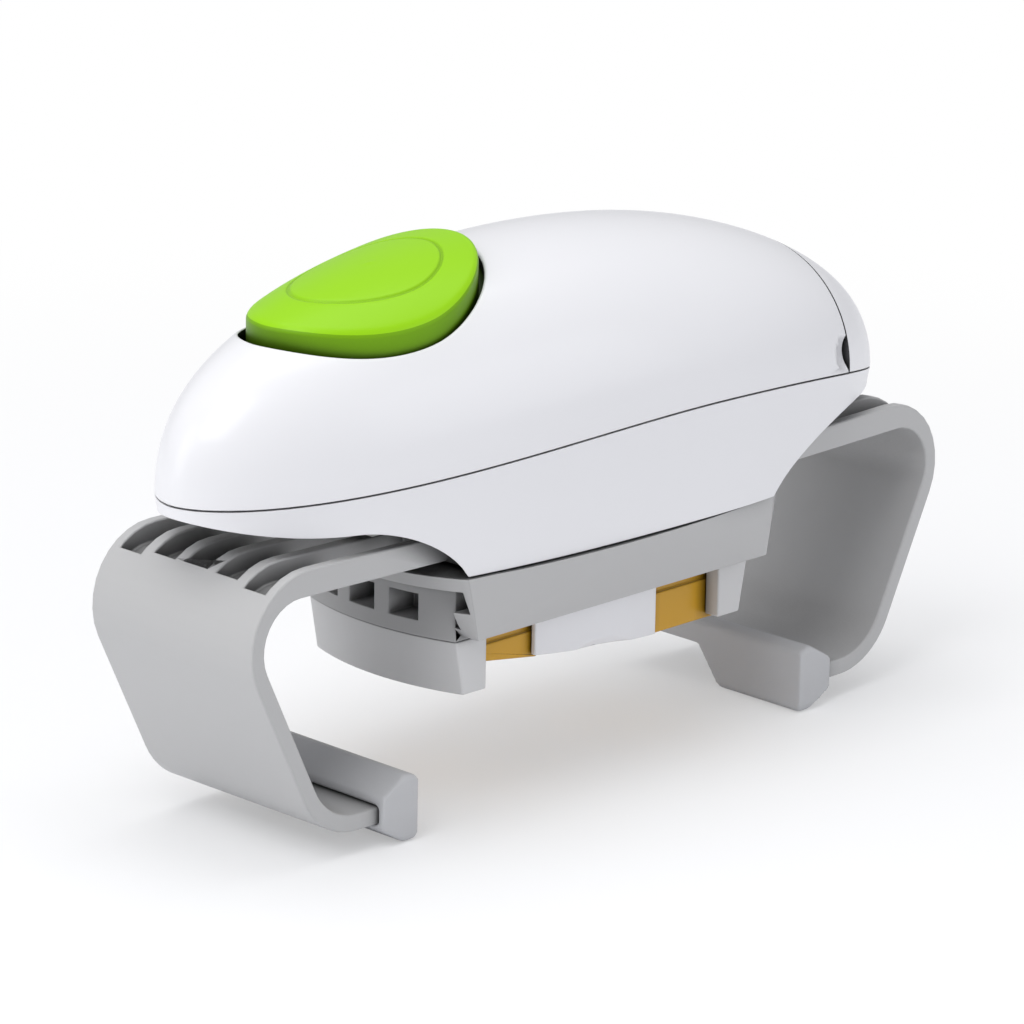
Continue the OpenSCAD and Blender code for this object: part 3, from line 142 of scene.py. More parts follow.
# %% [markdown]
# ## Moulded plastic
# Moulded plastic is never quite one colour. The pigment drifts a little and handling polishes the raised
# edges. Pictures wrapped round the parts could show this, but they would need unwrapping and would stretch,
# so noise in each part's own space is used instead. Shade is painted into the colour as well: where another
# surface lies close, in corners, slots and joints, an Ambient Occlusion node darkens it.
# A broad cloud drifts the colour. Where there is grain, streaks vary the shine and a fine skin lifts
# the surface. The glossy casing and button have none, because fine bumps make specks in a gloss.
# The worn edges come from a Bevel node: where its rounded normal departs from the real one,
# there is an edge.

# %% Recipe for moulded parts
CLOUD, STREAK, SKIN = 38, 60, 2600
STREAK_STRETCH = (1, 4, 6)
SKIN_DEPTH = 0.04 * MM
EDGE_REACH, EDGE_GAIN = 0.6 * MM, 8
CLOUD_SHINE, STREAK_SHINE, COAT_ROUGH = 0.06, 0.08, 0.12


def blend(finish, share, first, second):
    return finish.node("ShaderNodeMix", {"data_type": "RGBA"}, {0: share, 6: first, 7: second}, 2)


def noise(finish, place, scale, detail=2.0, stretch=None):
    if stretch:
        place = finish.node("ShaderNodeMapping", None, {"Vector": place, "Scale": stretch})
    return finish.node("ShaderNodeTexNoise", None, {"Vector": place, "Scale": scale, "Detail": detail})


def edge_mask(finish, radius, gain):
    rounded = finish.node("ShaderNodeBevel", {"samples": 4}, {"Radius": radius})
    real = finish.node("ShaderNodeNewGeometry", None, None, "Normal")
    match = finish.node("ShaderNodeVectorMath", {"operation": "DOT_PRODUCT"},
                        {0: rounded, 1: real}, "Value")
    return finish.node("ShaderNodeClamp", None, {"Value": (1 - match) * gain})


def moulded(name, colour, rough, grain=0.4, drift=0.03, wear=0.1,
            coat=0.0, shine=0.4, depth=0.003, dark_power=1.6):
    """Grain, drift and wear are strengths. Depth, in metres, is how far out from a close surface the painted
    shade reaches.
    """
    finish = Finish(name)
    place = finish.node("ShaderNodeTexCoord", None, None, "Object")
    cloud = noise(finish, place, CLOUD, 3)
    dark = [c * (1 - drift) for c in colour]
    worn = [min(1, c * 1.12 + 0.03) for c in colour]
    body = blend(finish, cloud, dark, colour)
    if wear:
        body = blend(finish, edge_mask(finish, EDGE_REACH, wear * EDGE_GAIN), body, worn)
    # Painted shade: near other surfaces the colour darkens towards a tenth, by the Ambient Occlusion to the
    # dark_power.
    if depth:
        opened = finish.node("ShaderNodeAmbientOcclusion", {"samples": 8}, {"Distance": depth}, "AO")
        corner = [c * 0.1 for c in colour]
        body = blend(finish, opened.maths("POWER", opened, dark_power), corner, body)
    shimmer = (cloud - 0.5) * CLOUD_SHINE
    if grain:
        shimmer = shimmer + (noise(finish, place, STREAK, 3, STREAK_STRETCH) - 0.5) * STREAK_SHINE
        bump = finish.node("ShaderNodeBump", None, {
            "Strength": grain, "Distance": SKIN_DEPTH, "Height": noise(finish, place, SKIN, 2)})
        finish.set(Normal=bump)
    finish.set(Base_Color=body, Roughness=rough + shimmer, Coat_Weight=coat, Coat_Roughness=COAT_ROUGH,
               Specular_IOR_Level=shine)
    return finish.material


# %% [markdown]
# ## The plastics
# Each plastic is one row of a table: its colour, its roughness and what departs from the usual recipe.
# A material could be written out for each, but a table shows at a glance how they differ.

# %% Table of plastics
# Depth and dark_power set each plastic's painted shade near other surfaces.
PLASTICS = {
    "white_plastic": ((0.83, 0.83, 0.855), 0.30,
                      {"grain": 0, "drift": 0.015, "wear": 0, "coat": 0.25, "depth": 0}),
    "grey_plastic": ((0.485, 0.485, 0.487), 0.36,
                     {"grain": 0.35, "wear": 0.12, "shine": 0.5, "depth": 0.005, "dark_power": 2.4}),
    "jaw_grey": ((0.64, 0.64, 0.645), 0.40, {"grain": 0.3}),
    "block_grey": ((0.42, 0.42, 0.423), 0.45, {"drift": 0.04, "wear": 0.12}),
    "green_plastic": ((0.31, 0.66, 0.004), 0.38, {"grain": 0, "drift": 0.04, "wear": 0.05, "shine": 0.25,
                                                  "depth": 0.008, "dark_power": 2.8}),
    "amber_plastic": ((0.64, 0.34, 0.01), 0.34, {"grain": 0.2, "drift": 0.08, "wear": 0.06, "coat": 0.1}),
    "inner_plastic": ((0.62, 0.62, 0.60), 0.5, {}),
    "black_plastic": ((0.05, 0.05, 0.05), 0.45, {}),
    "gear_plastic": ((0.80, 0.77, 0.68), 0.38, {"grain": 0.3}),
    "cell_wrap": ((0.05, 0.10, 0.30), 0.3, {"grain": 0.1, "coat": 0.4}),
    "wire_red": ((0.55, 0.04, 0.03), 0.45, {"grain": 0.3}),
    "friction": ((0.28, 0.16, 0.09), 0.8, {"grain": 1.0, "drift": 0.3, "wear": 0}),
}
FINISHES = {name: moulded(name, colour, rough, **rest)
            for name, (colour, rough, rest) in PLASTICS.items()}
# Painted shade: a dark finish for the walls inside joints and holes, which stand in shade.
GAP_SHADE = moulded("gap_shade", (0.10, 0.10, 0.105), 0.6, grain=0, drift=0.1, wear=0)
# Painted shade: a darker green for the button's steep side, which is the same green plastic as its top.
GREEN_SIDE_SHADE = moulded("green_side_shade", (0.18, 0.40, 0.003), 0.42, grain=0, drift=0.04, wear=0,
                     shine=0.2, depth=0.006, dark_power=2.2)
print(len(FINISHES), "moulded finishes")

# %% [markdown]
# ## Rubber
# The feet are soft rubber: dull, a shade bluer than the arms, with a pebbled skin that holds dust.
# Noise alone would look like plaster. The cells of a Voronoi pattern are round and close together,
# as pebbles are, so they make the bump, and a slow noise lays the dust.

# %% Rubber
def rubber(name, colour):
    finish = Finish(name)
    place = finish.node("ShaderNodeTexCoord", None, None, "Object")
    pebbles = finish.node("ShaderNodeTexVoronoi", None, {"Vector": place, "Scale": 1900})
    dust = noise(finish, place, 70, 4)
    pale = [min(1, c * 1.25 + 0.02) for c in colour]
    finish.set(Base_Color=blend(finish, dust * 0.5, colour, pale), Roughness=0.58 + dust * 0.2)
    bump = finish.node("ShaderNodeBump", None, {"Strength": 0.35, "Distance": 0.05 * MM, "Height": pebbles})
    finish.set(Normal=bump, Specular_IOR_Level=0.4)
    return finish.material


FINISHES["boot_rubber"] = rubber("boot_rubber", (0.50, 0.505, 0.52))
print("rubber ready")

# %% [markdown]
# ## Metal
# The metal inside is turned or plated. Turning leaves fine rings round the axis, which here stands upright.
# Rings cut into the mesh would cost thousands of faces. A noise that is squeezed along Z stands for them,
# in the bump and in the roughness, and a slower noise dulls the metal in patches.

# %% Metal
def metal(name, colour, rough, squeeze):
    finish = Finish(name)
    place = finish.node("ShaderNodeTexCoord", None, None, "Object")
    lines = noise(finish, place, 320, 3, (1, 1, squeeze))
    tarnish = noise(finish, place, 90, 3)
    dull = [c * 0.8 for c in colour]
    finish.set(Base_Color=blend(finish, tarnish, colour, dull), Metallic=1.0,
               Roughness=rough + lines * 0.15 + tarnish * 0.1)
    bump = finish.node("ShaderNodeBump", None, {"Strength": 0.2, "Distance": 0.03 * MM, "Height": lines})
    finish.set(Normal=bump)
    return finish.material


FINISHES["steel"] = metal("steel", (0.60, 0.60, 0.62), 0.2, 12)
FINISHES["zinc"] = metal("zinc", (0.50, 0.51, 0.53), 0.32, 3)
FINISHES["brass"] = metal("brass", (0.72, 0.52, 0.20), 0.3, 10)
print(len(FINISHES), "finishes")

# %% [markdown]
# ## A finish for every part
# The record names a material slot for each part. Parts could be painted one by one, but a loop over
# the slots can't miss one, and it also dresses the gears and screws that show only when something moves.

# %% Give every part the finish of its slot
slot_of = {part["node"]: part["material_slot"] for part in record["subparts"]}
body_of = {part: body for body, parts in record["behaviour"]["bodies"].items() for part in parts}
for part, node in frame["nodes"].items():
    node.data.materials.clear()
    node.data.materials.append(FINISHES[slot_of[part]])
print("finishes given to", len(frame["nodes"]), "parts")

# %% [markdown]
# ## From points to a piece
# Each new piece is a list of points in millimetres and a list of faces. One helper joins doubled points,
# turns the faces outwards and shades the curves smooth. No moulded edge is perfectly sharp: its rounding
# catches a thin line of light. Rounding by hand would be slow, so a Bevel modifier rounds each edge that
# turns by more than a set angle, and a Weighted Normal modifier keeps the large faces beside it even.

# %% Helpers that make a piece
def adopt(piece, part):
    """Gives a piece the finish and the body of the part that it replaces, and hides that part."""
    piece.data.materials.clear()
    piece.data.materials.append(FINISHES[slot_of[part]])
    piece.data.shade_smooth()
    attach(piece, body_of[part])
    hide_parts(part)


def as_piece(mesh, part, radius, sharp=35, segments=3):
    piece = bpy.data.objects.new(part + "_dressed", mesh)
    bpy.context.scene.collection.objects.link(piece)
    rounding = piece.modifiers.new("rounding", "BEVEL")
    rounding.width = radius * MM
    rounding.segments = segments
    rounding.limit_method = "WEIGHT"
    rounding.use_clamp_overlap = False
    evened = piece.modifiers.new("evened", "WEIGHTED_NORMAL")
    evened.mode = "FACE_AREA"
    weights = mesh.attributes.new("bevel_weight_edge", "FLOAT", "EDGE")
    shape = bmesh.new()
    shape.from_mesh(mesh)
    for edge in shape.edges:
        if len(edge.link_faces) == 2 and edge.calc_face_angle(0) > math.radians(sharp):
            weights.data[edge.index].value = 1.0
    shape.free()
    adopt(piece, part)
    return piece


def from_points(part, points, faces, radius, sharp):
    mesh = bpy.data.meshes.new(part + "_dressed")
    mesh.from_pydata([Vector(p) * MM for p in points], [], faces)
    shape = bmesh.new()
    shape.from_mesh(mesh)
    bmesh.ops.remove_doubles(shape, verts=shape.verts, dist=0.001 * MM)
    bmesh.ops.dissolve_degenerate(shape, edges=shape.edges, dist=0.0005 * MM)
    bmesh.ops.recalc_face_normals(shape, faces=shape.faces)
    open_edges = sum(1 for e in shape.edges if len(e.link_faces) != 2)
    shape.to_mesh(mesh)
    shape.free()
    print(part, len(mesh.vertices), "points,", open_edges, "open edges")
    return as_piece(mesh, part, radius, sharp)


# %% [markdown]
# ## Painted shade in joints
# Light hardly reaches the walls inside a narrow joint, and that is what draws the joint as a thin dark line.
# A dark line could be laid over the joint, but it would float when a part moves. Here the walls themselves
# get a dark finish, painted shade, so the line stays clear from every side. The button's steep side, which
# sits down in the shell, gets a deeper green in the same way: shade painted onto the same green plastic.
# in the shell, gets a deeper green in the same way.

# %% Shade the walls of a joint
def shade_walls(piece, is_wall, finish=GAP_SHADE):
    """Gives a second finish, painted shade, to the faces whose centre, in millimetres, and normal the test
    accepts.
    """
    piece.data.materials.append(finish)
    walls = [face for face in piece.data.polygons if is_wall(face.center / MM, face.normal)]
    for face in walls:
        face.material_index = 1
    print(piece.name, len(walls), "shaded faces")


# %% [markdown]
# ## The form of the casing
# The casing is an egg: its width and its height fall off towards the nose and the tail along power curves,
# and each cross-section is a superellipse on a seam that droops towards the tail. It could be sculpted
# from a sphere, but then it would only come near its solid. The same curves made the solid,
# so the fine skin drawn from them lies exactly on it.

# %% Curves of the casing
HALF_W, RISE, NOSE, TAIL = 32.9, 33.5, 97.2, 90.5
WIDE_X, HIGH_X, WALL, SEAM_Z, SECTION = 18.8, -19.3, 2.2, 75.2, 2.11
WIDE_POWERS = ((2.4, 1.91), (2.2, 2.04))
HIGH_POWERS = ((2.84, 2.34), (1.63, 3.0))
SEAM_CURVE = (3.05, -7.5, -5.7)
MID_X, HALF_L = (TAIL - NOSE) / 2, (TAIL + NOSE) / 2
COVER_X = 64.2


def fall(x, peak, end, powers):
    share = min(1.0, abs((x - peak) / (end - peak)))
    return max(0.0, 1 - share ** powers[0]) ** (1 / powers[1])


def half_size(x, inset, size, peak, powers):
    """Half width or rise at x. The first powers shape the nose side of the peak, the second the tail side."""
    end, shape = (inset - NOSE, powers[0]) if x < peak else (TAIL - inset, powers[1])
    return (size - inset) * fall(x, peak, end, shape)


def half_w(x, inset=0.0):
    return half_size(x, inset, HALF_W, WIDE_X, WIDE_POWERS)


def rise(x, inset=0.0):
    return half_size(x, inset, RISE, HIGH_X, HIGH_POWERS)


def seam_z(x):
    u = (x - MID_X) / HALF_L
    return SEAM_Z + SEAM_CURVE[0] * u + SEAM_CURVE[1] * u * u + SEAM_CURVE[2] * u ** 3


def dome_z(x, y, inset=0.0):
    share = min(1.0, abs(y) / max(half_w(x, inset), 0.01))
    return seam_z(x) + rise(x, inset) * (1 - share ** SECTION) ** (1 / SECTION)


def signed_power(v, power):
    return math.copysign(abs(v) ** power, v)


def dome_point(x, around, inset):
    """A point of the dome: around runs from 0 at the +Y rim over the top to 180 at the -Y rim."""
    a = math.radians(around)
    return (x, half_w(x, inset) * signed_power(math.cos(a), 2 / SECTION),
            seam_z(x) + rise(x, inset) * abs(math.sin(a)) ** (2 / SECTION))


print("casing", round(half_w(0), 1), "mm half wide over the turning axis")

# %% [markdown]
# ## The button's outline
# The button is a leaf: a long curve to a rounded tip at the nose, and a fuller round end towards the tail.
# A drawn Bezier curve could trace it, but then the hole would need a second one beside it. Two superellipses
# that meet at the widest place give both: the hole is the same leaf with its half-lengths grown by the gaps.

# %% Outline of the button and of its hole
BUTTON_X = -46.0
BUTTON_HALVES = (27.6, 23.4, 19.0)
HOLE_HALVES = (29.7, 24.9, 19.6)
NOSE_POWERS, TAIL_POWERS = (1.8, 1.9), (1.95, 1.85)


def leaf(angle, halves):
    """A point of a leaf. The halves reach to the nose, to the tail and sideways from BUTTON_X."""
    c, s = math.cos(math.radians(angle)), math.sin(math.radians(angle))
    half_l, powers = (halves[0], NOSE_POWERS) if c < 0 else (halves[1], TAIL_POWERS)
    return (BUTTON_X + half_l * signed_power(c, 2 / powers[0]),
            halves[2] * signed_power(s, 2 / powers[1]))


def button_leaf(angle, scale=1.0):
    return leaf(angle, [half * scale for half in BUTTON_HALVES])


def hole_leaf(angle, grow=0.0):
    return leaf(angle, [half + grow for half in HOLE_HALVES])


def outside_leaf(p, halves, scale):
    """True when a point, seen from above, lies outside the leaf with these halves times the scale."""
    half_l, powers = (halves[0], NOSE_POWERS) if p.x < BUTTON_X else (halves[1], TAIL_POWERS)
    along, across = abs((p.x - BUTTON_X) / half_l / scale), abs(p.y / halves[2] / scale)
    return along ** powers[0] + across ** powers[1] > 1


print("button", round(button_leaf(0)[0] - button_leaf(180)[0], 1), "mm long")

# %% [markdown]
# ## Upper shell
# A hole cut by a boolean leaves ragged faces in a curved skin, and they show in the gloss.
# So the skin is woven around the hole instead: rows of points run from the hole's edge out to the
# shell's rim. The hole gets a rounded lip, and the scoop for a fingertip beside the cover is pressed
# into the points.

# %% Rings between the hole and the rim
LIP, LIP_STEPS, RINGS = 0.8, 5, 44
MOUTH_STEPS, SIDE_STEPS, TIP_STEPS = 34, 60, 24
MOUTH_CROWDING, RING_CROWDING = 1.35, 1.3
JOINT_HALF = 0.25
MOUTH_X = COVER_X - JOINT_HALF
HOLE_ALONG, HOLE_REACH = 44.0, 45


def rim_walk():
    """(along, around) pairs round the skin's edge: mouth, +Y rim, tip of the nose, -Y rim, mouth."""
    half = [90 * (i / MOUTH_STEPS) ** MOUTH_CROWDING for i in range(MOUTH_STEPS + 1)]
    walk = [(90, a) for a in reversed(half)]
    walk += [(90 - 90 * i / SIDE_STEPS, 0) for i in range(1, SIDE_STEPS + 1)]
    walk += [(0, 180 * i / TIP_STEPS) for i in range(1, TIP_STEPS + 1)]
    walk += [(90 * i / SIDE_STEPS, 180) for i in range(1, SIDE_STEPS + 1)]
    return walk + [(90, 180 - a) for a in half[1:-1]]


def shell_skin(inset, lip):
    """Rows from the hole to the rim, each with the angle at which it leaves the hole."""
    tip = inset - NOSE
    span = MOUTH_X - tip
    rows = []
    for along, around in rim_walk():
        angle = math.degrees(math.atan2((90 - around) / 90, (along - HOLE_ALONG) / HOLE_REACH))
        x, y = hole_leaf(angle, lip)
        side = signed_power(max(-1, min(1, y / half_w(x, inset))), SECTION / 2)
        near = (math.degrees(math.acos(1 - (x - tip) / span)), math.degrees(math.acos(side)))
        row = []
        for i in range(RINGS + 1):
            t = 1 - (1 - i / RINGS) ** RING_CROWDING
            a, b = near[0] + (along - near[0]) * t, near[1] + (around - near[1]) * t
            row.append(dome_point(tip + span * (1 - math.cos(math.radians(a))), b, inset))
        rows.append((angle, row))
    return rows


def press_scoop(point):
    """Moves a point that lies inside the fingertip's ball out to the ball's surface."""
    x0, deep, ball, lift = COVER_X - 0.6, 1.8, 5.0, 4.6
    z0 = seam_z(x0) + lift
    y0 = half_w(x0) * (1 - (lift / rise(x0)) ** SECTION) ** (1 / SECTION) - deep + ball
    reach = ball ** 2 - (point[0] - x0) ** 2 - (point[2] - z0) ** 2
    limit = y0 - math.sqrt(reach) if reach > 0 else 1000.0
    return (point[0], math.copysign(min(abs(point[1]), limit), point[1]), point[2])


print(len(rim_walk()), "rows of", RINGS + 1, "points")

# %% [markdown]
# Each row runs out over the skin's outside and back inside, with the rounded lip between, so it is a closed
# loop of its own. Joining each loop to the next makes a watertight shell with a true wall.

# %% Weave the upper shell
outer, lining = shell_skin(0.0, LIP), shell_skin(WALL, 0.0)
strips = []
for (angle, out_row), (_, in_row) in zip(outer, lining):
    lip_points = []
    for j in range(1, LIP_STEPS + 1):
        a = math.radians(90 * j / LIP_STEPS)
        x, y = hole_leaf(angle, LIP * (1 - math.sin(a)))
        lip_points.append((x, y, dome_z(x, y) - LIP * (1 - math.cos(a))))
    strips.append([press_scoop(p) for p in reversed(out_row)] + lip_points + in_row)
length = len(strips[0])
points = [p for strip in strips for p in strip]
faces = []
for k in range(len(strips)):
    here, after = k * length, (k + 1) % len(strips) * length
    for i in range(length):
        faces.append((here + i, after + i, after + (i + 1) % length, here + (i + 1) % length))
upper_shell = from_points("upper_shell", points, faces, radius=0.15, sharp=50)

# %% Walls of the upper shell's joints
NEAR = 0.01


def on_rim(p, n):
    """True on the rim along the seam, which looks down."""
    return p.z < seam_z(p.x) + NEAR and n.z < -0.9


def is_shell_wall(p, n):
    """True on the mouth, on the rim that meets the lower shell, and on the wall of the button's hole."""
    on_hole = outside_leaf(p, HOLE_HALVES, 0.985) and not outside_leaf(p, HOLE_HALVES, 1.015)
    return p.x > MOUTH_X - NEAR or on_rim(p, n) or (on_hole and abs(n.z) < 0.3)


# The mouth, the rim along the seam and the wall of the button's hole get the dark gap_shade: painted shade.
shade_walls(upper_shell, is_shell_wall)

# %% [markdown]
# ## Battery cover
# The cover is the dome's tail, and it slides off to change the cells. It could be cut from the shell's mesh,
# but the cut would leave thin faces. Rows of points run from its mouth to the tip instead,
# once outside and once inside, and stand closest at the tip, where the form turns fastest.

# %% Battery cover
COVER_STEPS, COVER_TURNS = 56, 96


def cover_rows(inset):
    x0, tip = COVER_X + JOINT_HALF, TAIL - inset
    rows = []
    for i in range(COVER_STEPS + 1):
        x = x0 + (tip - x0) * math.sin(math.radians(90 * i / COVER_STEPS))
        rows.append([dome_point(x, 180 * j / COVER_TURNS, inset) for j in range(COVER_TURNS + 1)])
    return rows


def weave(rows):
    """Faces of a closed band of rows: each row joins the next, and the last joins the first."""
    width = len(rows[0])
    made = []
    for i in range(len(rows)):
        here, after = i * width, (i + 1) % len(rows) * width
        made += [(here + j, here + j + 1, after + j + 1, after + j) for j in range(width - 1)]
    return [p for row in rows for p in row], made


outside, inside = cover_rows(0.0), cover_rows(WALL)
points, faces = weave(outside + inside[::-1])
width, last = COVER_TURNS + 1, 2 * COVER_STEPS + 1
for i in range(COVER_STEPS):
    for edge in (0, width - 1):
        faces.append((i * width + edge, (i + 1) * width + edge,
                      (last - 1 - i) * width + edge, (last - i) * width + edge))
battery_cover = from_points("battery_cover", points, faces, radius=0.1, sharp=50)
# The cover's mouth wall and its rim get the dark gap_shade: painted shade, which also shows as the dark
# crescent in the fingertip's scoop.
shade_walls(battery_cover, lambda p, n: p.x < COVER_X + JOINT_HALF + NEAR or on_rim(p, n))

# %% [markdown]
# ## Lower shell
# The lower shell is a wall that hangs from the seam. It draws in a little on its way down, its lower edge
# arches up over each arm, and a rim turns inwards along the arches. The seam stays open by a hair, and with
# the painted shade on the upper shell's rim above it, that makes the fine dark line round the whole casing.
# Arches cut by a boolean would be jagged, so each column of points simply ends at its own height.

# %% Edge of the lower shell
SKIRT_Z = 51.6
ARCH = (1.8, 1.35)
NOSE_TOP_X, NOSE_FOOT_X, NOSE_EDGE_Z, TIP_LIFT = -70.0, -46.2, 63.6, 4.0
TAIL_TOP_X, TAIL_FOOT_X, TAIL_EDGE_Z, TAIL_STRIP = 72.0, 38.2, 63.8, 2.4
ARM_HALF_W, ARM_TOP_Z, CLEAR = 22.4, 60.4, 0.3
RIM_W, RIM_T, RIM_RUN, LEAST_RUN = 5.0, 1.6, 3.0, 0.04
BESIDE_MIN, OVER_RUN = 0.7, 2.0
DRAW, DRAW_DEPTH = 1.6, 6.0


def edge_z(x):
    """Height of the lower edge: level along the skirt, arched over each arm, and lifted to the nose's tip."""
    if x < NOSE_TOP_X:
        return NOSE_EDGE_Z + TIP_LIFT * ((NOSE_TOP_X - x) / (NOSE + NOSE_TOP_X)) ** 2
    if x < NOSE_FOOT_X:
        return SKIRT_Z + (NOSE_EDGE_Z - SKIRT_Z) * fall(x, NOSE_TOP_X, NOSE_FOOT_X, ARCH)
    if x < TAIL_FOOT_X:
        return SKIRT_Z
    if x < TAIL_TOP_X:
        return SKIRT_Z + (TAIL_EDGE_Z - SKIRT_Z) * fall(x, TAIL_TOP_X, TAIL_FOOT_X, ARCH)
    return min(TAIL_EDGE_Z, seam_z(x) - TAIL_STRIP)


def draw_in(depth):
    return DRAW * depth / (depth + DRAW_DEPTH)


def rim_width(x, y, edge):
    """Reach of the inward rim: it stops short of the arm beside it, and is full where it passes above."""
    strip = ARM_HALF_W + CLEAR
    free = HALF_W * (1 - strip / max(abs(y), strip + BESIDE_MIN)) - draw_in(seam_z(x) - edge)
    beside = max(WALL, min(RIM_W, free))
    over = max(0.0, min(1.0, (edge - ARM_TOP_Z - CLEAR) / OVER_RUN))
    return beside + (RIM_W - beside) * over


def moved_in(x, y, d):
    half = NOSE + WIDE_X if x < WIDE_X else TAIL - WIDE_X
    return WIDE_X + (x - WIDE_X) * (1 - d / half), y * (1 - d / HALF_W)


print("lower edge", SKIRT_Z, "mm up along the skirt,", round(edge_z(-NOSE), 1), "mm at the nose")

# %% [markdown]
# One ring is a loop of points round the casing at one level. Rings go down outside and come up inside.
# The two lowest inner ones are the edge of the rim, whose reach and thickness grow with the arch.

# %% Rings of the lower shell
SIDE_ROWS, LEVELS = 180, 16
SEAM_HAIR, COVER_HAIR = 0.34, 0.3


def lower_ring(inner, level):
    ring = []
    for k in range(2 * SIDE_ROWS):
        i = k if k <= SIDE_ROWS else 2 * SIDE_ROWS - k
        x = MID_X - HALF_L * math.cos(math.pi * i / SIDE_ROWS)
        y = math.copysign(half_w(x), -1 if k <= SIDE_ROWS else 1)
        edge = edge_z(x)
        seam = seam_z(x) - (COVER_HAIR if x > COVER_X else SEAM_HAIR)
        run = max(LEAST_RUN, min(1, (edge - SKIRT_Z) / RIM_RUN))
        low = edge + RIM_T * run if inner and level < LEVELS else edge
        z = seam + (low - seam) * min(1, level / (LEVELS - 2 if inner else LEVELS))
        inset = WALL if inner else 0
        if inner and level >= LEVELS - 1:
            inset = WALL + (rim_width(x, y, edge) - WALL) * run
        ring.append((*moved_in(x, y, draw_in(seam - z) + inset), z))
    return ring + [ring[0]]


rows = [lower_ring(False, level) for level in range(LEVELS + 1)]
rows += [lower_ring(True, level) for level in range(LEVELS, -1, -1)]
points, faces = weave(rows)
from_points("lower_shell", points, faces, radius=0.15, sharp=40)

# %% [markdown]
# ## Green button
# The button's top follows the dome and stands a little proud of it. One shallow groove runs round it,
# parallel to its outline: a plain contour line for the fingertip. The edge is rounded over in a few rings,
# then the side drops to the flange that keeps the button in the shell. A groove drawn as a bump would
# vanish at its outline, so the rings stand close together there and are sunk by a soft bell curve.

# %% Button
PROUD, NOSE_TO_TAIL, SIDEWAYS = 2.4, 0.7, 0.9
GROOVE_AT, GROOVE_DEEP, GROOVE_HALF = 0.66, 0.28, 0.016
EDGE_AT, EDGE_DROP, EDGE_STEPS = 0.945, 1.1, 5
FLANGE_OUT, FLANGE_T, FLANGE_GAP = 1.2, 1.2, 0.3
BUTTON_TURNS = 144


def top_point(angle, scale, drop):
    """A point of the button's top, on the leaf at this scale and lowered by the drop."""
    x, y = button_leaf(angle, scale)
    along = (x - BUTTON_X + BUTTON_HALVES[0]) / (BUTTON_HALVES[0] + BUTTON_HALVES[1])
    proud = PROUD + NOSE_TO_TAIL * along + SIDEWAYS * (y / BUTTON_HALVES[2]) ** 2
    return x, y, dome_z(x, y) + proud - drop


def groove(scale):
    return GROOVE_DEEP * math.exp(-((scale - GROOVE_AT) / GROOVE_HALF) ** 2)


scales = [0.02, 0.1, 0.2, 0.3, 0.4, 0.5, 0.58, 0.62] + [0.63 + 0.006 * i for i in range(11)]
scales += [0.71, 0.76, 0.82, 0.88, 0.92, EDGE_AT]
angles = [360 * k / BUTTON_TURNS for k in range(BUTTON_TURNS + 1)]
rows = [[top_point(a, s, groove(s)) for a in angles] for s in scales]
for j in range(1, EDGE_STEPS + 1):
    turned = math.radians(90 * j / EDGE_STEPS)
    scale = EDGE_AT + (1 - EDGE_AT) * math.sin(turned)
    rows.append([top_point(a, scale, EDGE_DROP * (1 - math.cos(turned))) for a in angles])

# %% [markdown]
# The flange lies under the shell, just wider than the hole, and its underside closes the piece.

# %% Side and flange of the button
rims = [hole_leaf(a, FLANGE_OUT) for a in angles]
flange = [(x, y, dome_z(x, y, WALL) - FLANGE_GAP) for x, y in rims]
rows.append([(*button_leaf(a), f[2]) for a, f in zip(angles, flange)])
rows += [flange, [(x, y, z - FLANGE_T) for x, y, z in flange]]
for z in (flange[0][2] - FLANGE_T, rows[0][0][2]):
    rows.append([(BUTTON_X, 0, z)] * len(angles))
points, faces = weave(rows)
button = from_points("button", points, faces, radius=0.2, sharp=60)
# The button's steep side gets the darker green: painted shade.
shade_walls(button, lambda p, n: outside_leaf(p, BUTTON_HALVES, 0.986), GREEN_SIDE_SHADE)

# %% [markdown]
# ## Parts with straight sides
# Arms, jaws, carrier and hub are already right in shape, so drawing them again would gain nothing.
# Each is copied from its solid, its flat faces are merged so that only true edges stay, and those edges
# are rounded. The arms, which hands touch, are rounded more than the carrier between them.

# %% Dress a solid
def dress(part, radius, sharp=25, join=0.002):
    """Copies a solid's mesh, joins points nearer than join, merges flat faces and rounds the edges."""
    mesh = frame["nodes"][part].data.copy()
    mesh.name = part + "_dressed"
    shape = bmesh.new()
    shape.from_mesh(mesh)
    bmesh.ops.remove_doubles(shape, verts=shape.verts, dist=join * MM)
    bmesh.ops.dissolve_limit(shape, angle_limit=math.radians(0.8), verts=shape.verts, edges=shape.edges)
    shape.to_mesh(mesh)
    shape.free()
    as_piece(mesh, part, radius, sharp, segments=2)
    print(part, len(mesh.polygons), "faces")


ROUNDING = {
    "left_arm": 0.45, "right_arm": 0.45, "carrier": 0.2, "hub": 0.35, "left_jaw": 0.4, "right_jaw": 0.4,
    "left_jaw_block": 0.25, "right_jaw_block": 0.25, "left_jaw_slide": 0.4, "right_jaw_slide": 0.4,
    "motor_can": 0.5, "motor_end_cap": 0.3, "battery_tray": 0.2, "near_cell": 0.4, "far_cell": 0.4,
}
DRESSING = {"carrier": {"sharp": 50, "join": 0.12}, "hub": {"sharp": 50}}
for part, radius in ROUNDING.items():
    dress(part, radius, **DRESSING.get(part, {}))

# %% [markdown]
# ## Rubber boots
# A rubber boot has no crisp edge anywhere. A Bevel modifier would leave quite flat faces between
# its rounded edges. So the solid is rebuilt as an even net of small squares and then relaxed,
# which melts every edge and corner by the same amount, as the soft mould did.

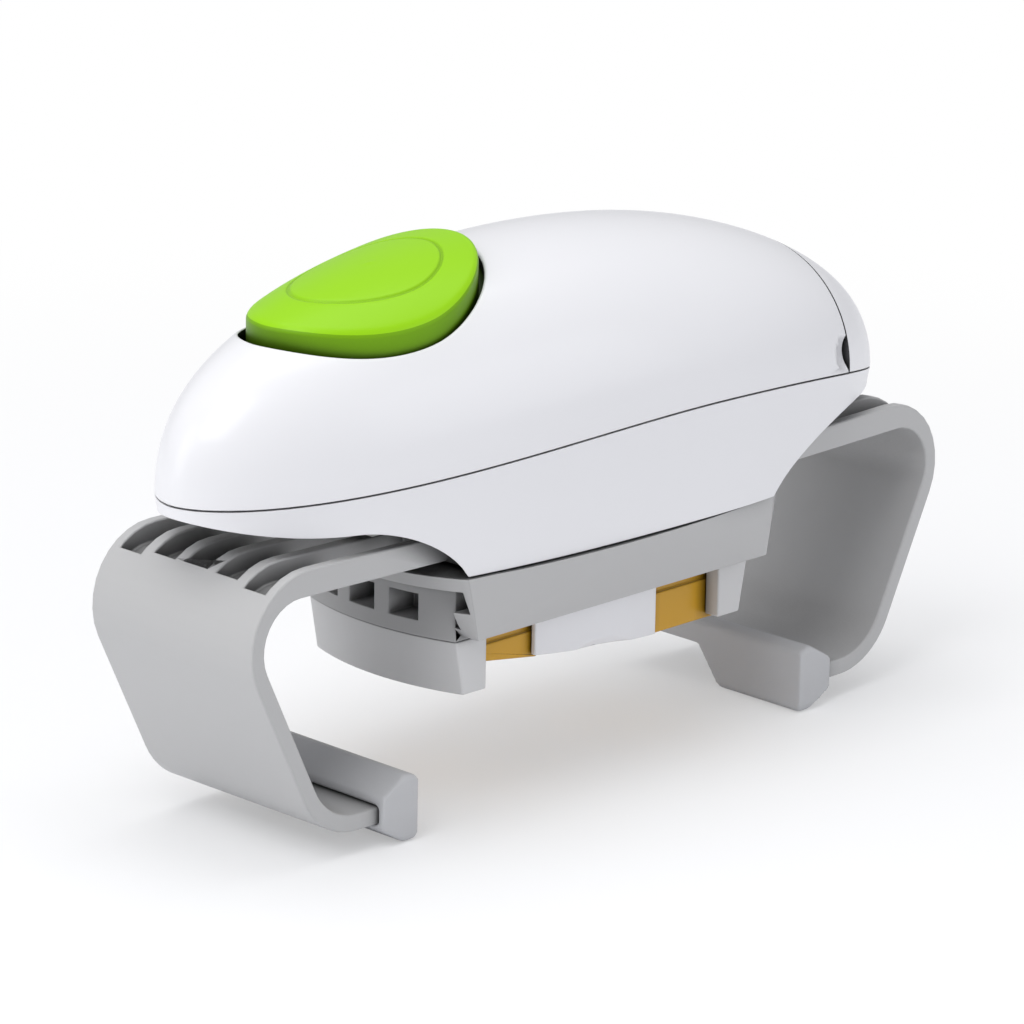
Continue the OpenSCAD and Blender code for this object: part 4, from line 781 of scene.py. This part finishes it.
# %% Boots
def soften(part, cell, rounds):
    """Nets a copy of the solid with squares of this many millimetres and relaxes it for some rounds."""
    mesh = frame["nodes"][part].data.copy()
    piece = bpy.data.objects.new(part + "_dressed", mesh)
    bpy.context.scene.collection.objects.link(piece)
    net = piece.modifiers.new("net", "REMESH")
    net.mode, net.voxel_size = "VOXEL", cell * MM
    relax = piece.modifiers.new("relax", "SMOOTH")
    relax.factor, relax.iterations = 0.5, rounds
    bpy.context.view_layer.update()
    soft = bpy.data.meshes.new_from_object(piece.evaluated_get(bpy.context.evaluated_depsgraph_get()))
    piece.modifiers.clear()
    piece.data = soft
    adopt(piece, part)
    print(part, len(soft.polygons), "faces")


for part in ("left_boot", "right_boot", "left_foot_bumper", "right_foot_bumper"):
    soften(part, 0.4, 6)

# %% [markdown]
# ## Stage
# The photograph has a pale sheet under the object and plain white behind it. A curved backdrop would do
# in a studio, but here the object is looked at from all sides. So the floor is a flat sheet: near the object
# it takes the soft shadow, and further out it brightens to white for the camera, and no horizon shows.
# Near the object the camera also sees a share GLOW of flat white glow over the floor: painted light that
# lightens the soft shadow.

# %% Floor
FLOOR_HALF = 6
FADE_FROM, FADE_TO, GLOW = 0.12, 0.42, 0.35
floor_mesh = bpy.data.meshes.new("floor")
corners = [(FLOOR_HALF * x, FLOOR_HALF * y, 0) for x, y in ((-1, -1), (1, -1), (1, 1), (-1, 1))]
floor_mesh.from_pydata(corners, [], [(0, 1, 2, 3)])
floor = bpy.data.objects.new("floor", floor_mesh)
bpy.context.scene.collection.objects.link(floor)
paper = Finish("floor_paper")
place = paper.node("ShaderNodeTexCoord", None, None, "Object")
distance = paper.node("ShaderNodeVectorMath", {"operation": "LENGTH"}, {0: place}, "Value")
far = paper.node("ShaderNodeMapRange", {"interpolation_type": "SMOOTHSTEP"},
                 {"Value": distance, "From Min": FADE_FROM, "From Max": FADE_TO})
seen = paper.node("ShaderNodeLightPath", None, None, "Is Camera Ray")
paper.set(Base_Color=(0.92, 0.925, 0.94), Roughness=0.9, Specular_IOR_Level=0.1)
white = paper.node("ShaderNodeEmission", None, {"Color": (1, 1, 1), "Strength": 1.0})
# Painted light: even near the object, a share GLOW of the floor is white glow for the camera, which lightens
# the shadow there.
mixed = paper.node("ShaderNodeMixShader", None, {
    0: seen * (far * (1 - GLOW) + GLOW), 1: Value(paper, paper.shader.outputs[0]), 2: white})
paper.feed(paper.tree.nodes["Material Output"].inputs["Surface"], mixed)
floor_mesh.materials.append(paper.material)
print("floor", 2 * FLOOR_HALF, "m wide")

# %% [markdown]
# ## Light
# Product light is broad and soft, because a small lamp would show as a hard spot in the gloss. A large sheet
# overhead and to the left makes the long highlight on the nose, a weaker one fills the near side,
# and the world gives the rest from all around.

# %% Lamps
def softbox(name, place, aim, size, power, colour=(1, 1, 1)):
    data = bpy.data.lights.new(name, "AREA")
    data.shape, data.size, data.size_y = "RECTANGLE", size[0], size[1]
    data.energy, data.color = power, colour
    lamp = bpy.data.objects.new(name, data)
    bpy.context.scene.collection.objects.link(lamp)
    aimed = (Vector(place) - Vector(aim)).to_track_quat("Z", "Y").to_matrix().to_4x4()
    lamp.matrix_world = Matrix.Translation(place) @ aimed
    print("lamp", name, power, "W")


softbox("key", (-0.75, -0.15, 0.95), (-0.02, 0, 0.07), (0.7, 0.7), 5.2)
softbox("top", (0.1, 0.1, 1.3), (0, 0, 0.08), (1.2, 0.9), 6.6)
softbox("side", (-1.0, 0.5, 0.42), (0, 0, 0.07), (0.5, 0.8), 2.0)
softbox("fill", (0.5, -1.1, 0.5), (0, 0, 0.06), (0.9, 0.7), 2.0, (0.96, 0.97, 1.0))

# %% [markdown]
# ## World
# The world has two faces. Surfaces are lit by a dim, slightly blue one, which keeps the shadows open.
# The camera sees plain white, as behind the photographed object. One world can't be both,
# so a Light Path node tells the camera's rays from all others.

# %% World
world = bpy.data.worlds.new("studio")
bpy.context.scene.world = world
world.use_nodes = True
sky = world.node_tree
background = sky.nodes["Background"]
background.inputs["Color"].default_value = (0.97, 0.975, 1.0, 1)
background.inputs["Strength"].default_value = 0.46
plain = sky.nodes.new("ShaderNodeBackground")
plain.inputs["Color"].default_value = (1, 1, 1, 1)
plain.inputs["Strength"].default_value = 1.0
rays = sky.nodes.new("ShaderNodeLightPath")
either = sky.nodes.new("ShaderNodeMixShader")
sky.links.new(rays.outputs["Is Camera Ray"], either.inputs[0])
sky.links.new(background.outputs[0], either.inputs[1])
sky.links.new(plain.outputs[0], either.inputs[2])
sky.links.new(either.outputs[0], sky.nodes["World Output"].inputs["Surface"])
bpy.context.scene.view_settings.view_transform = "Standard"
print("world ready")


bpy.context.view_layer.update()
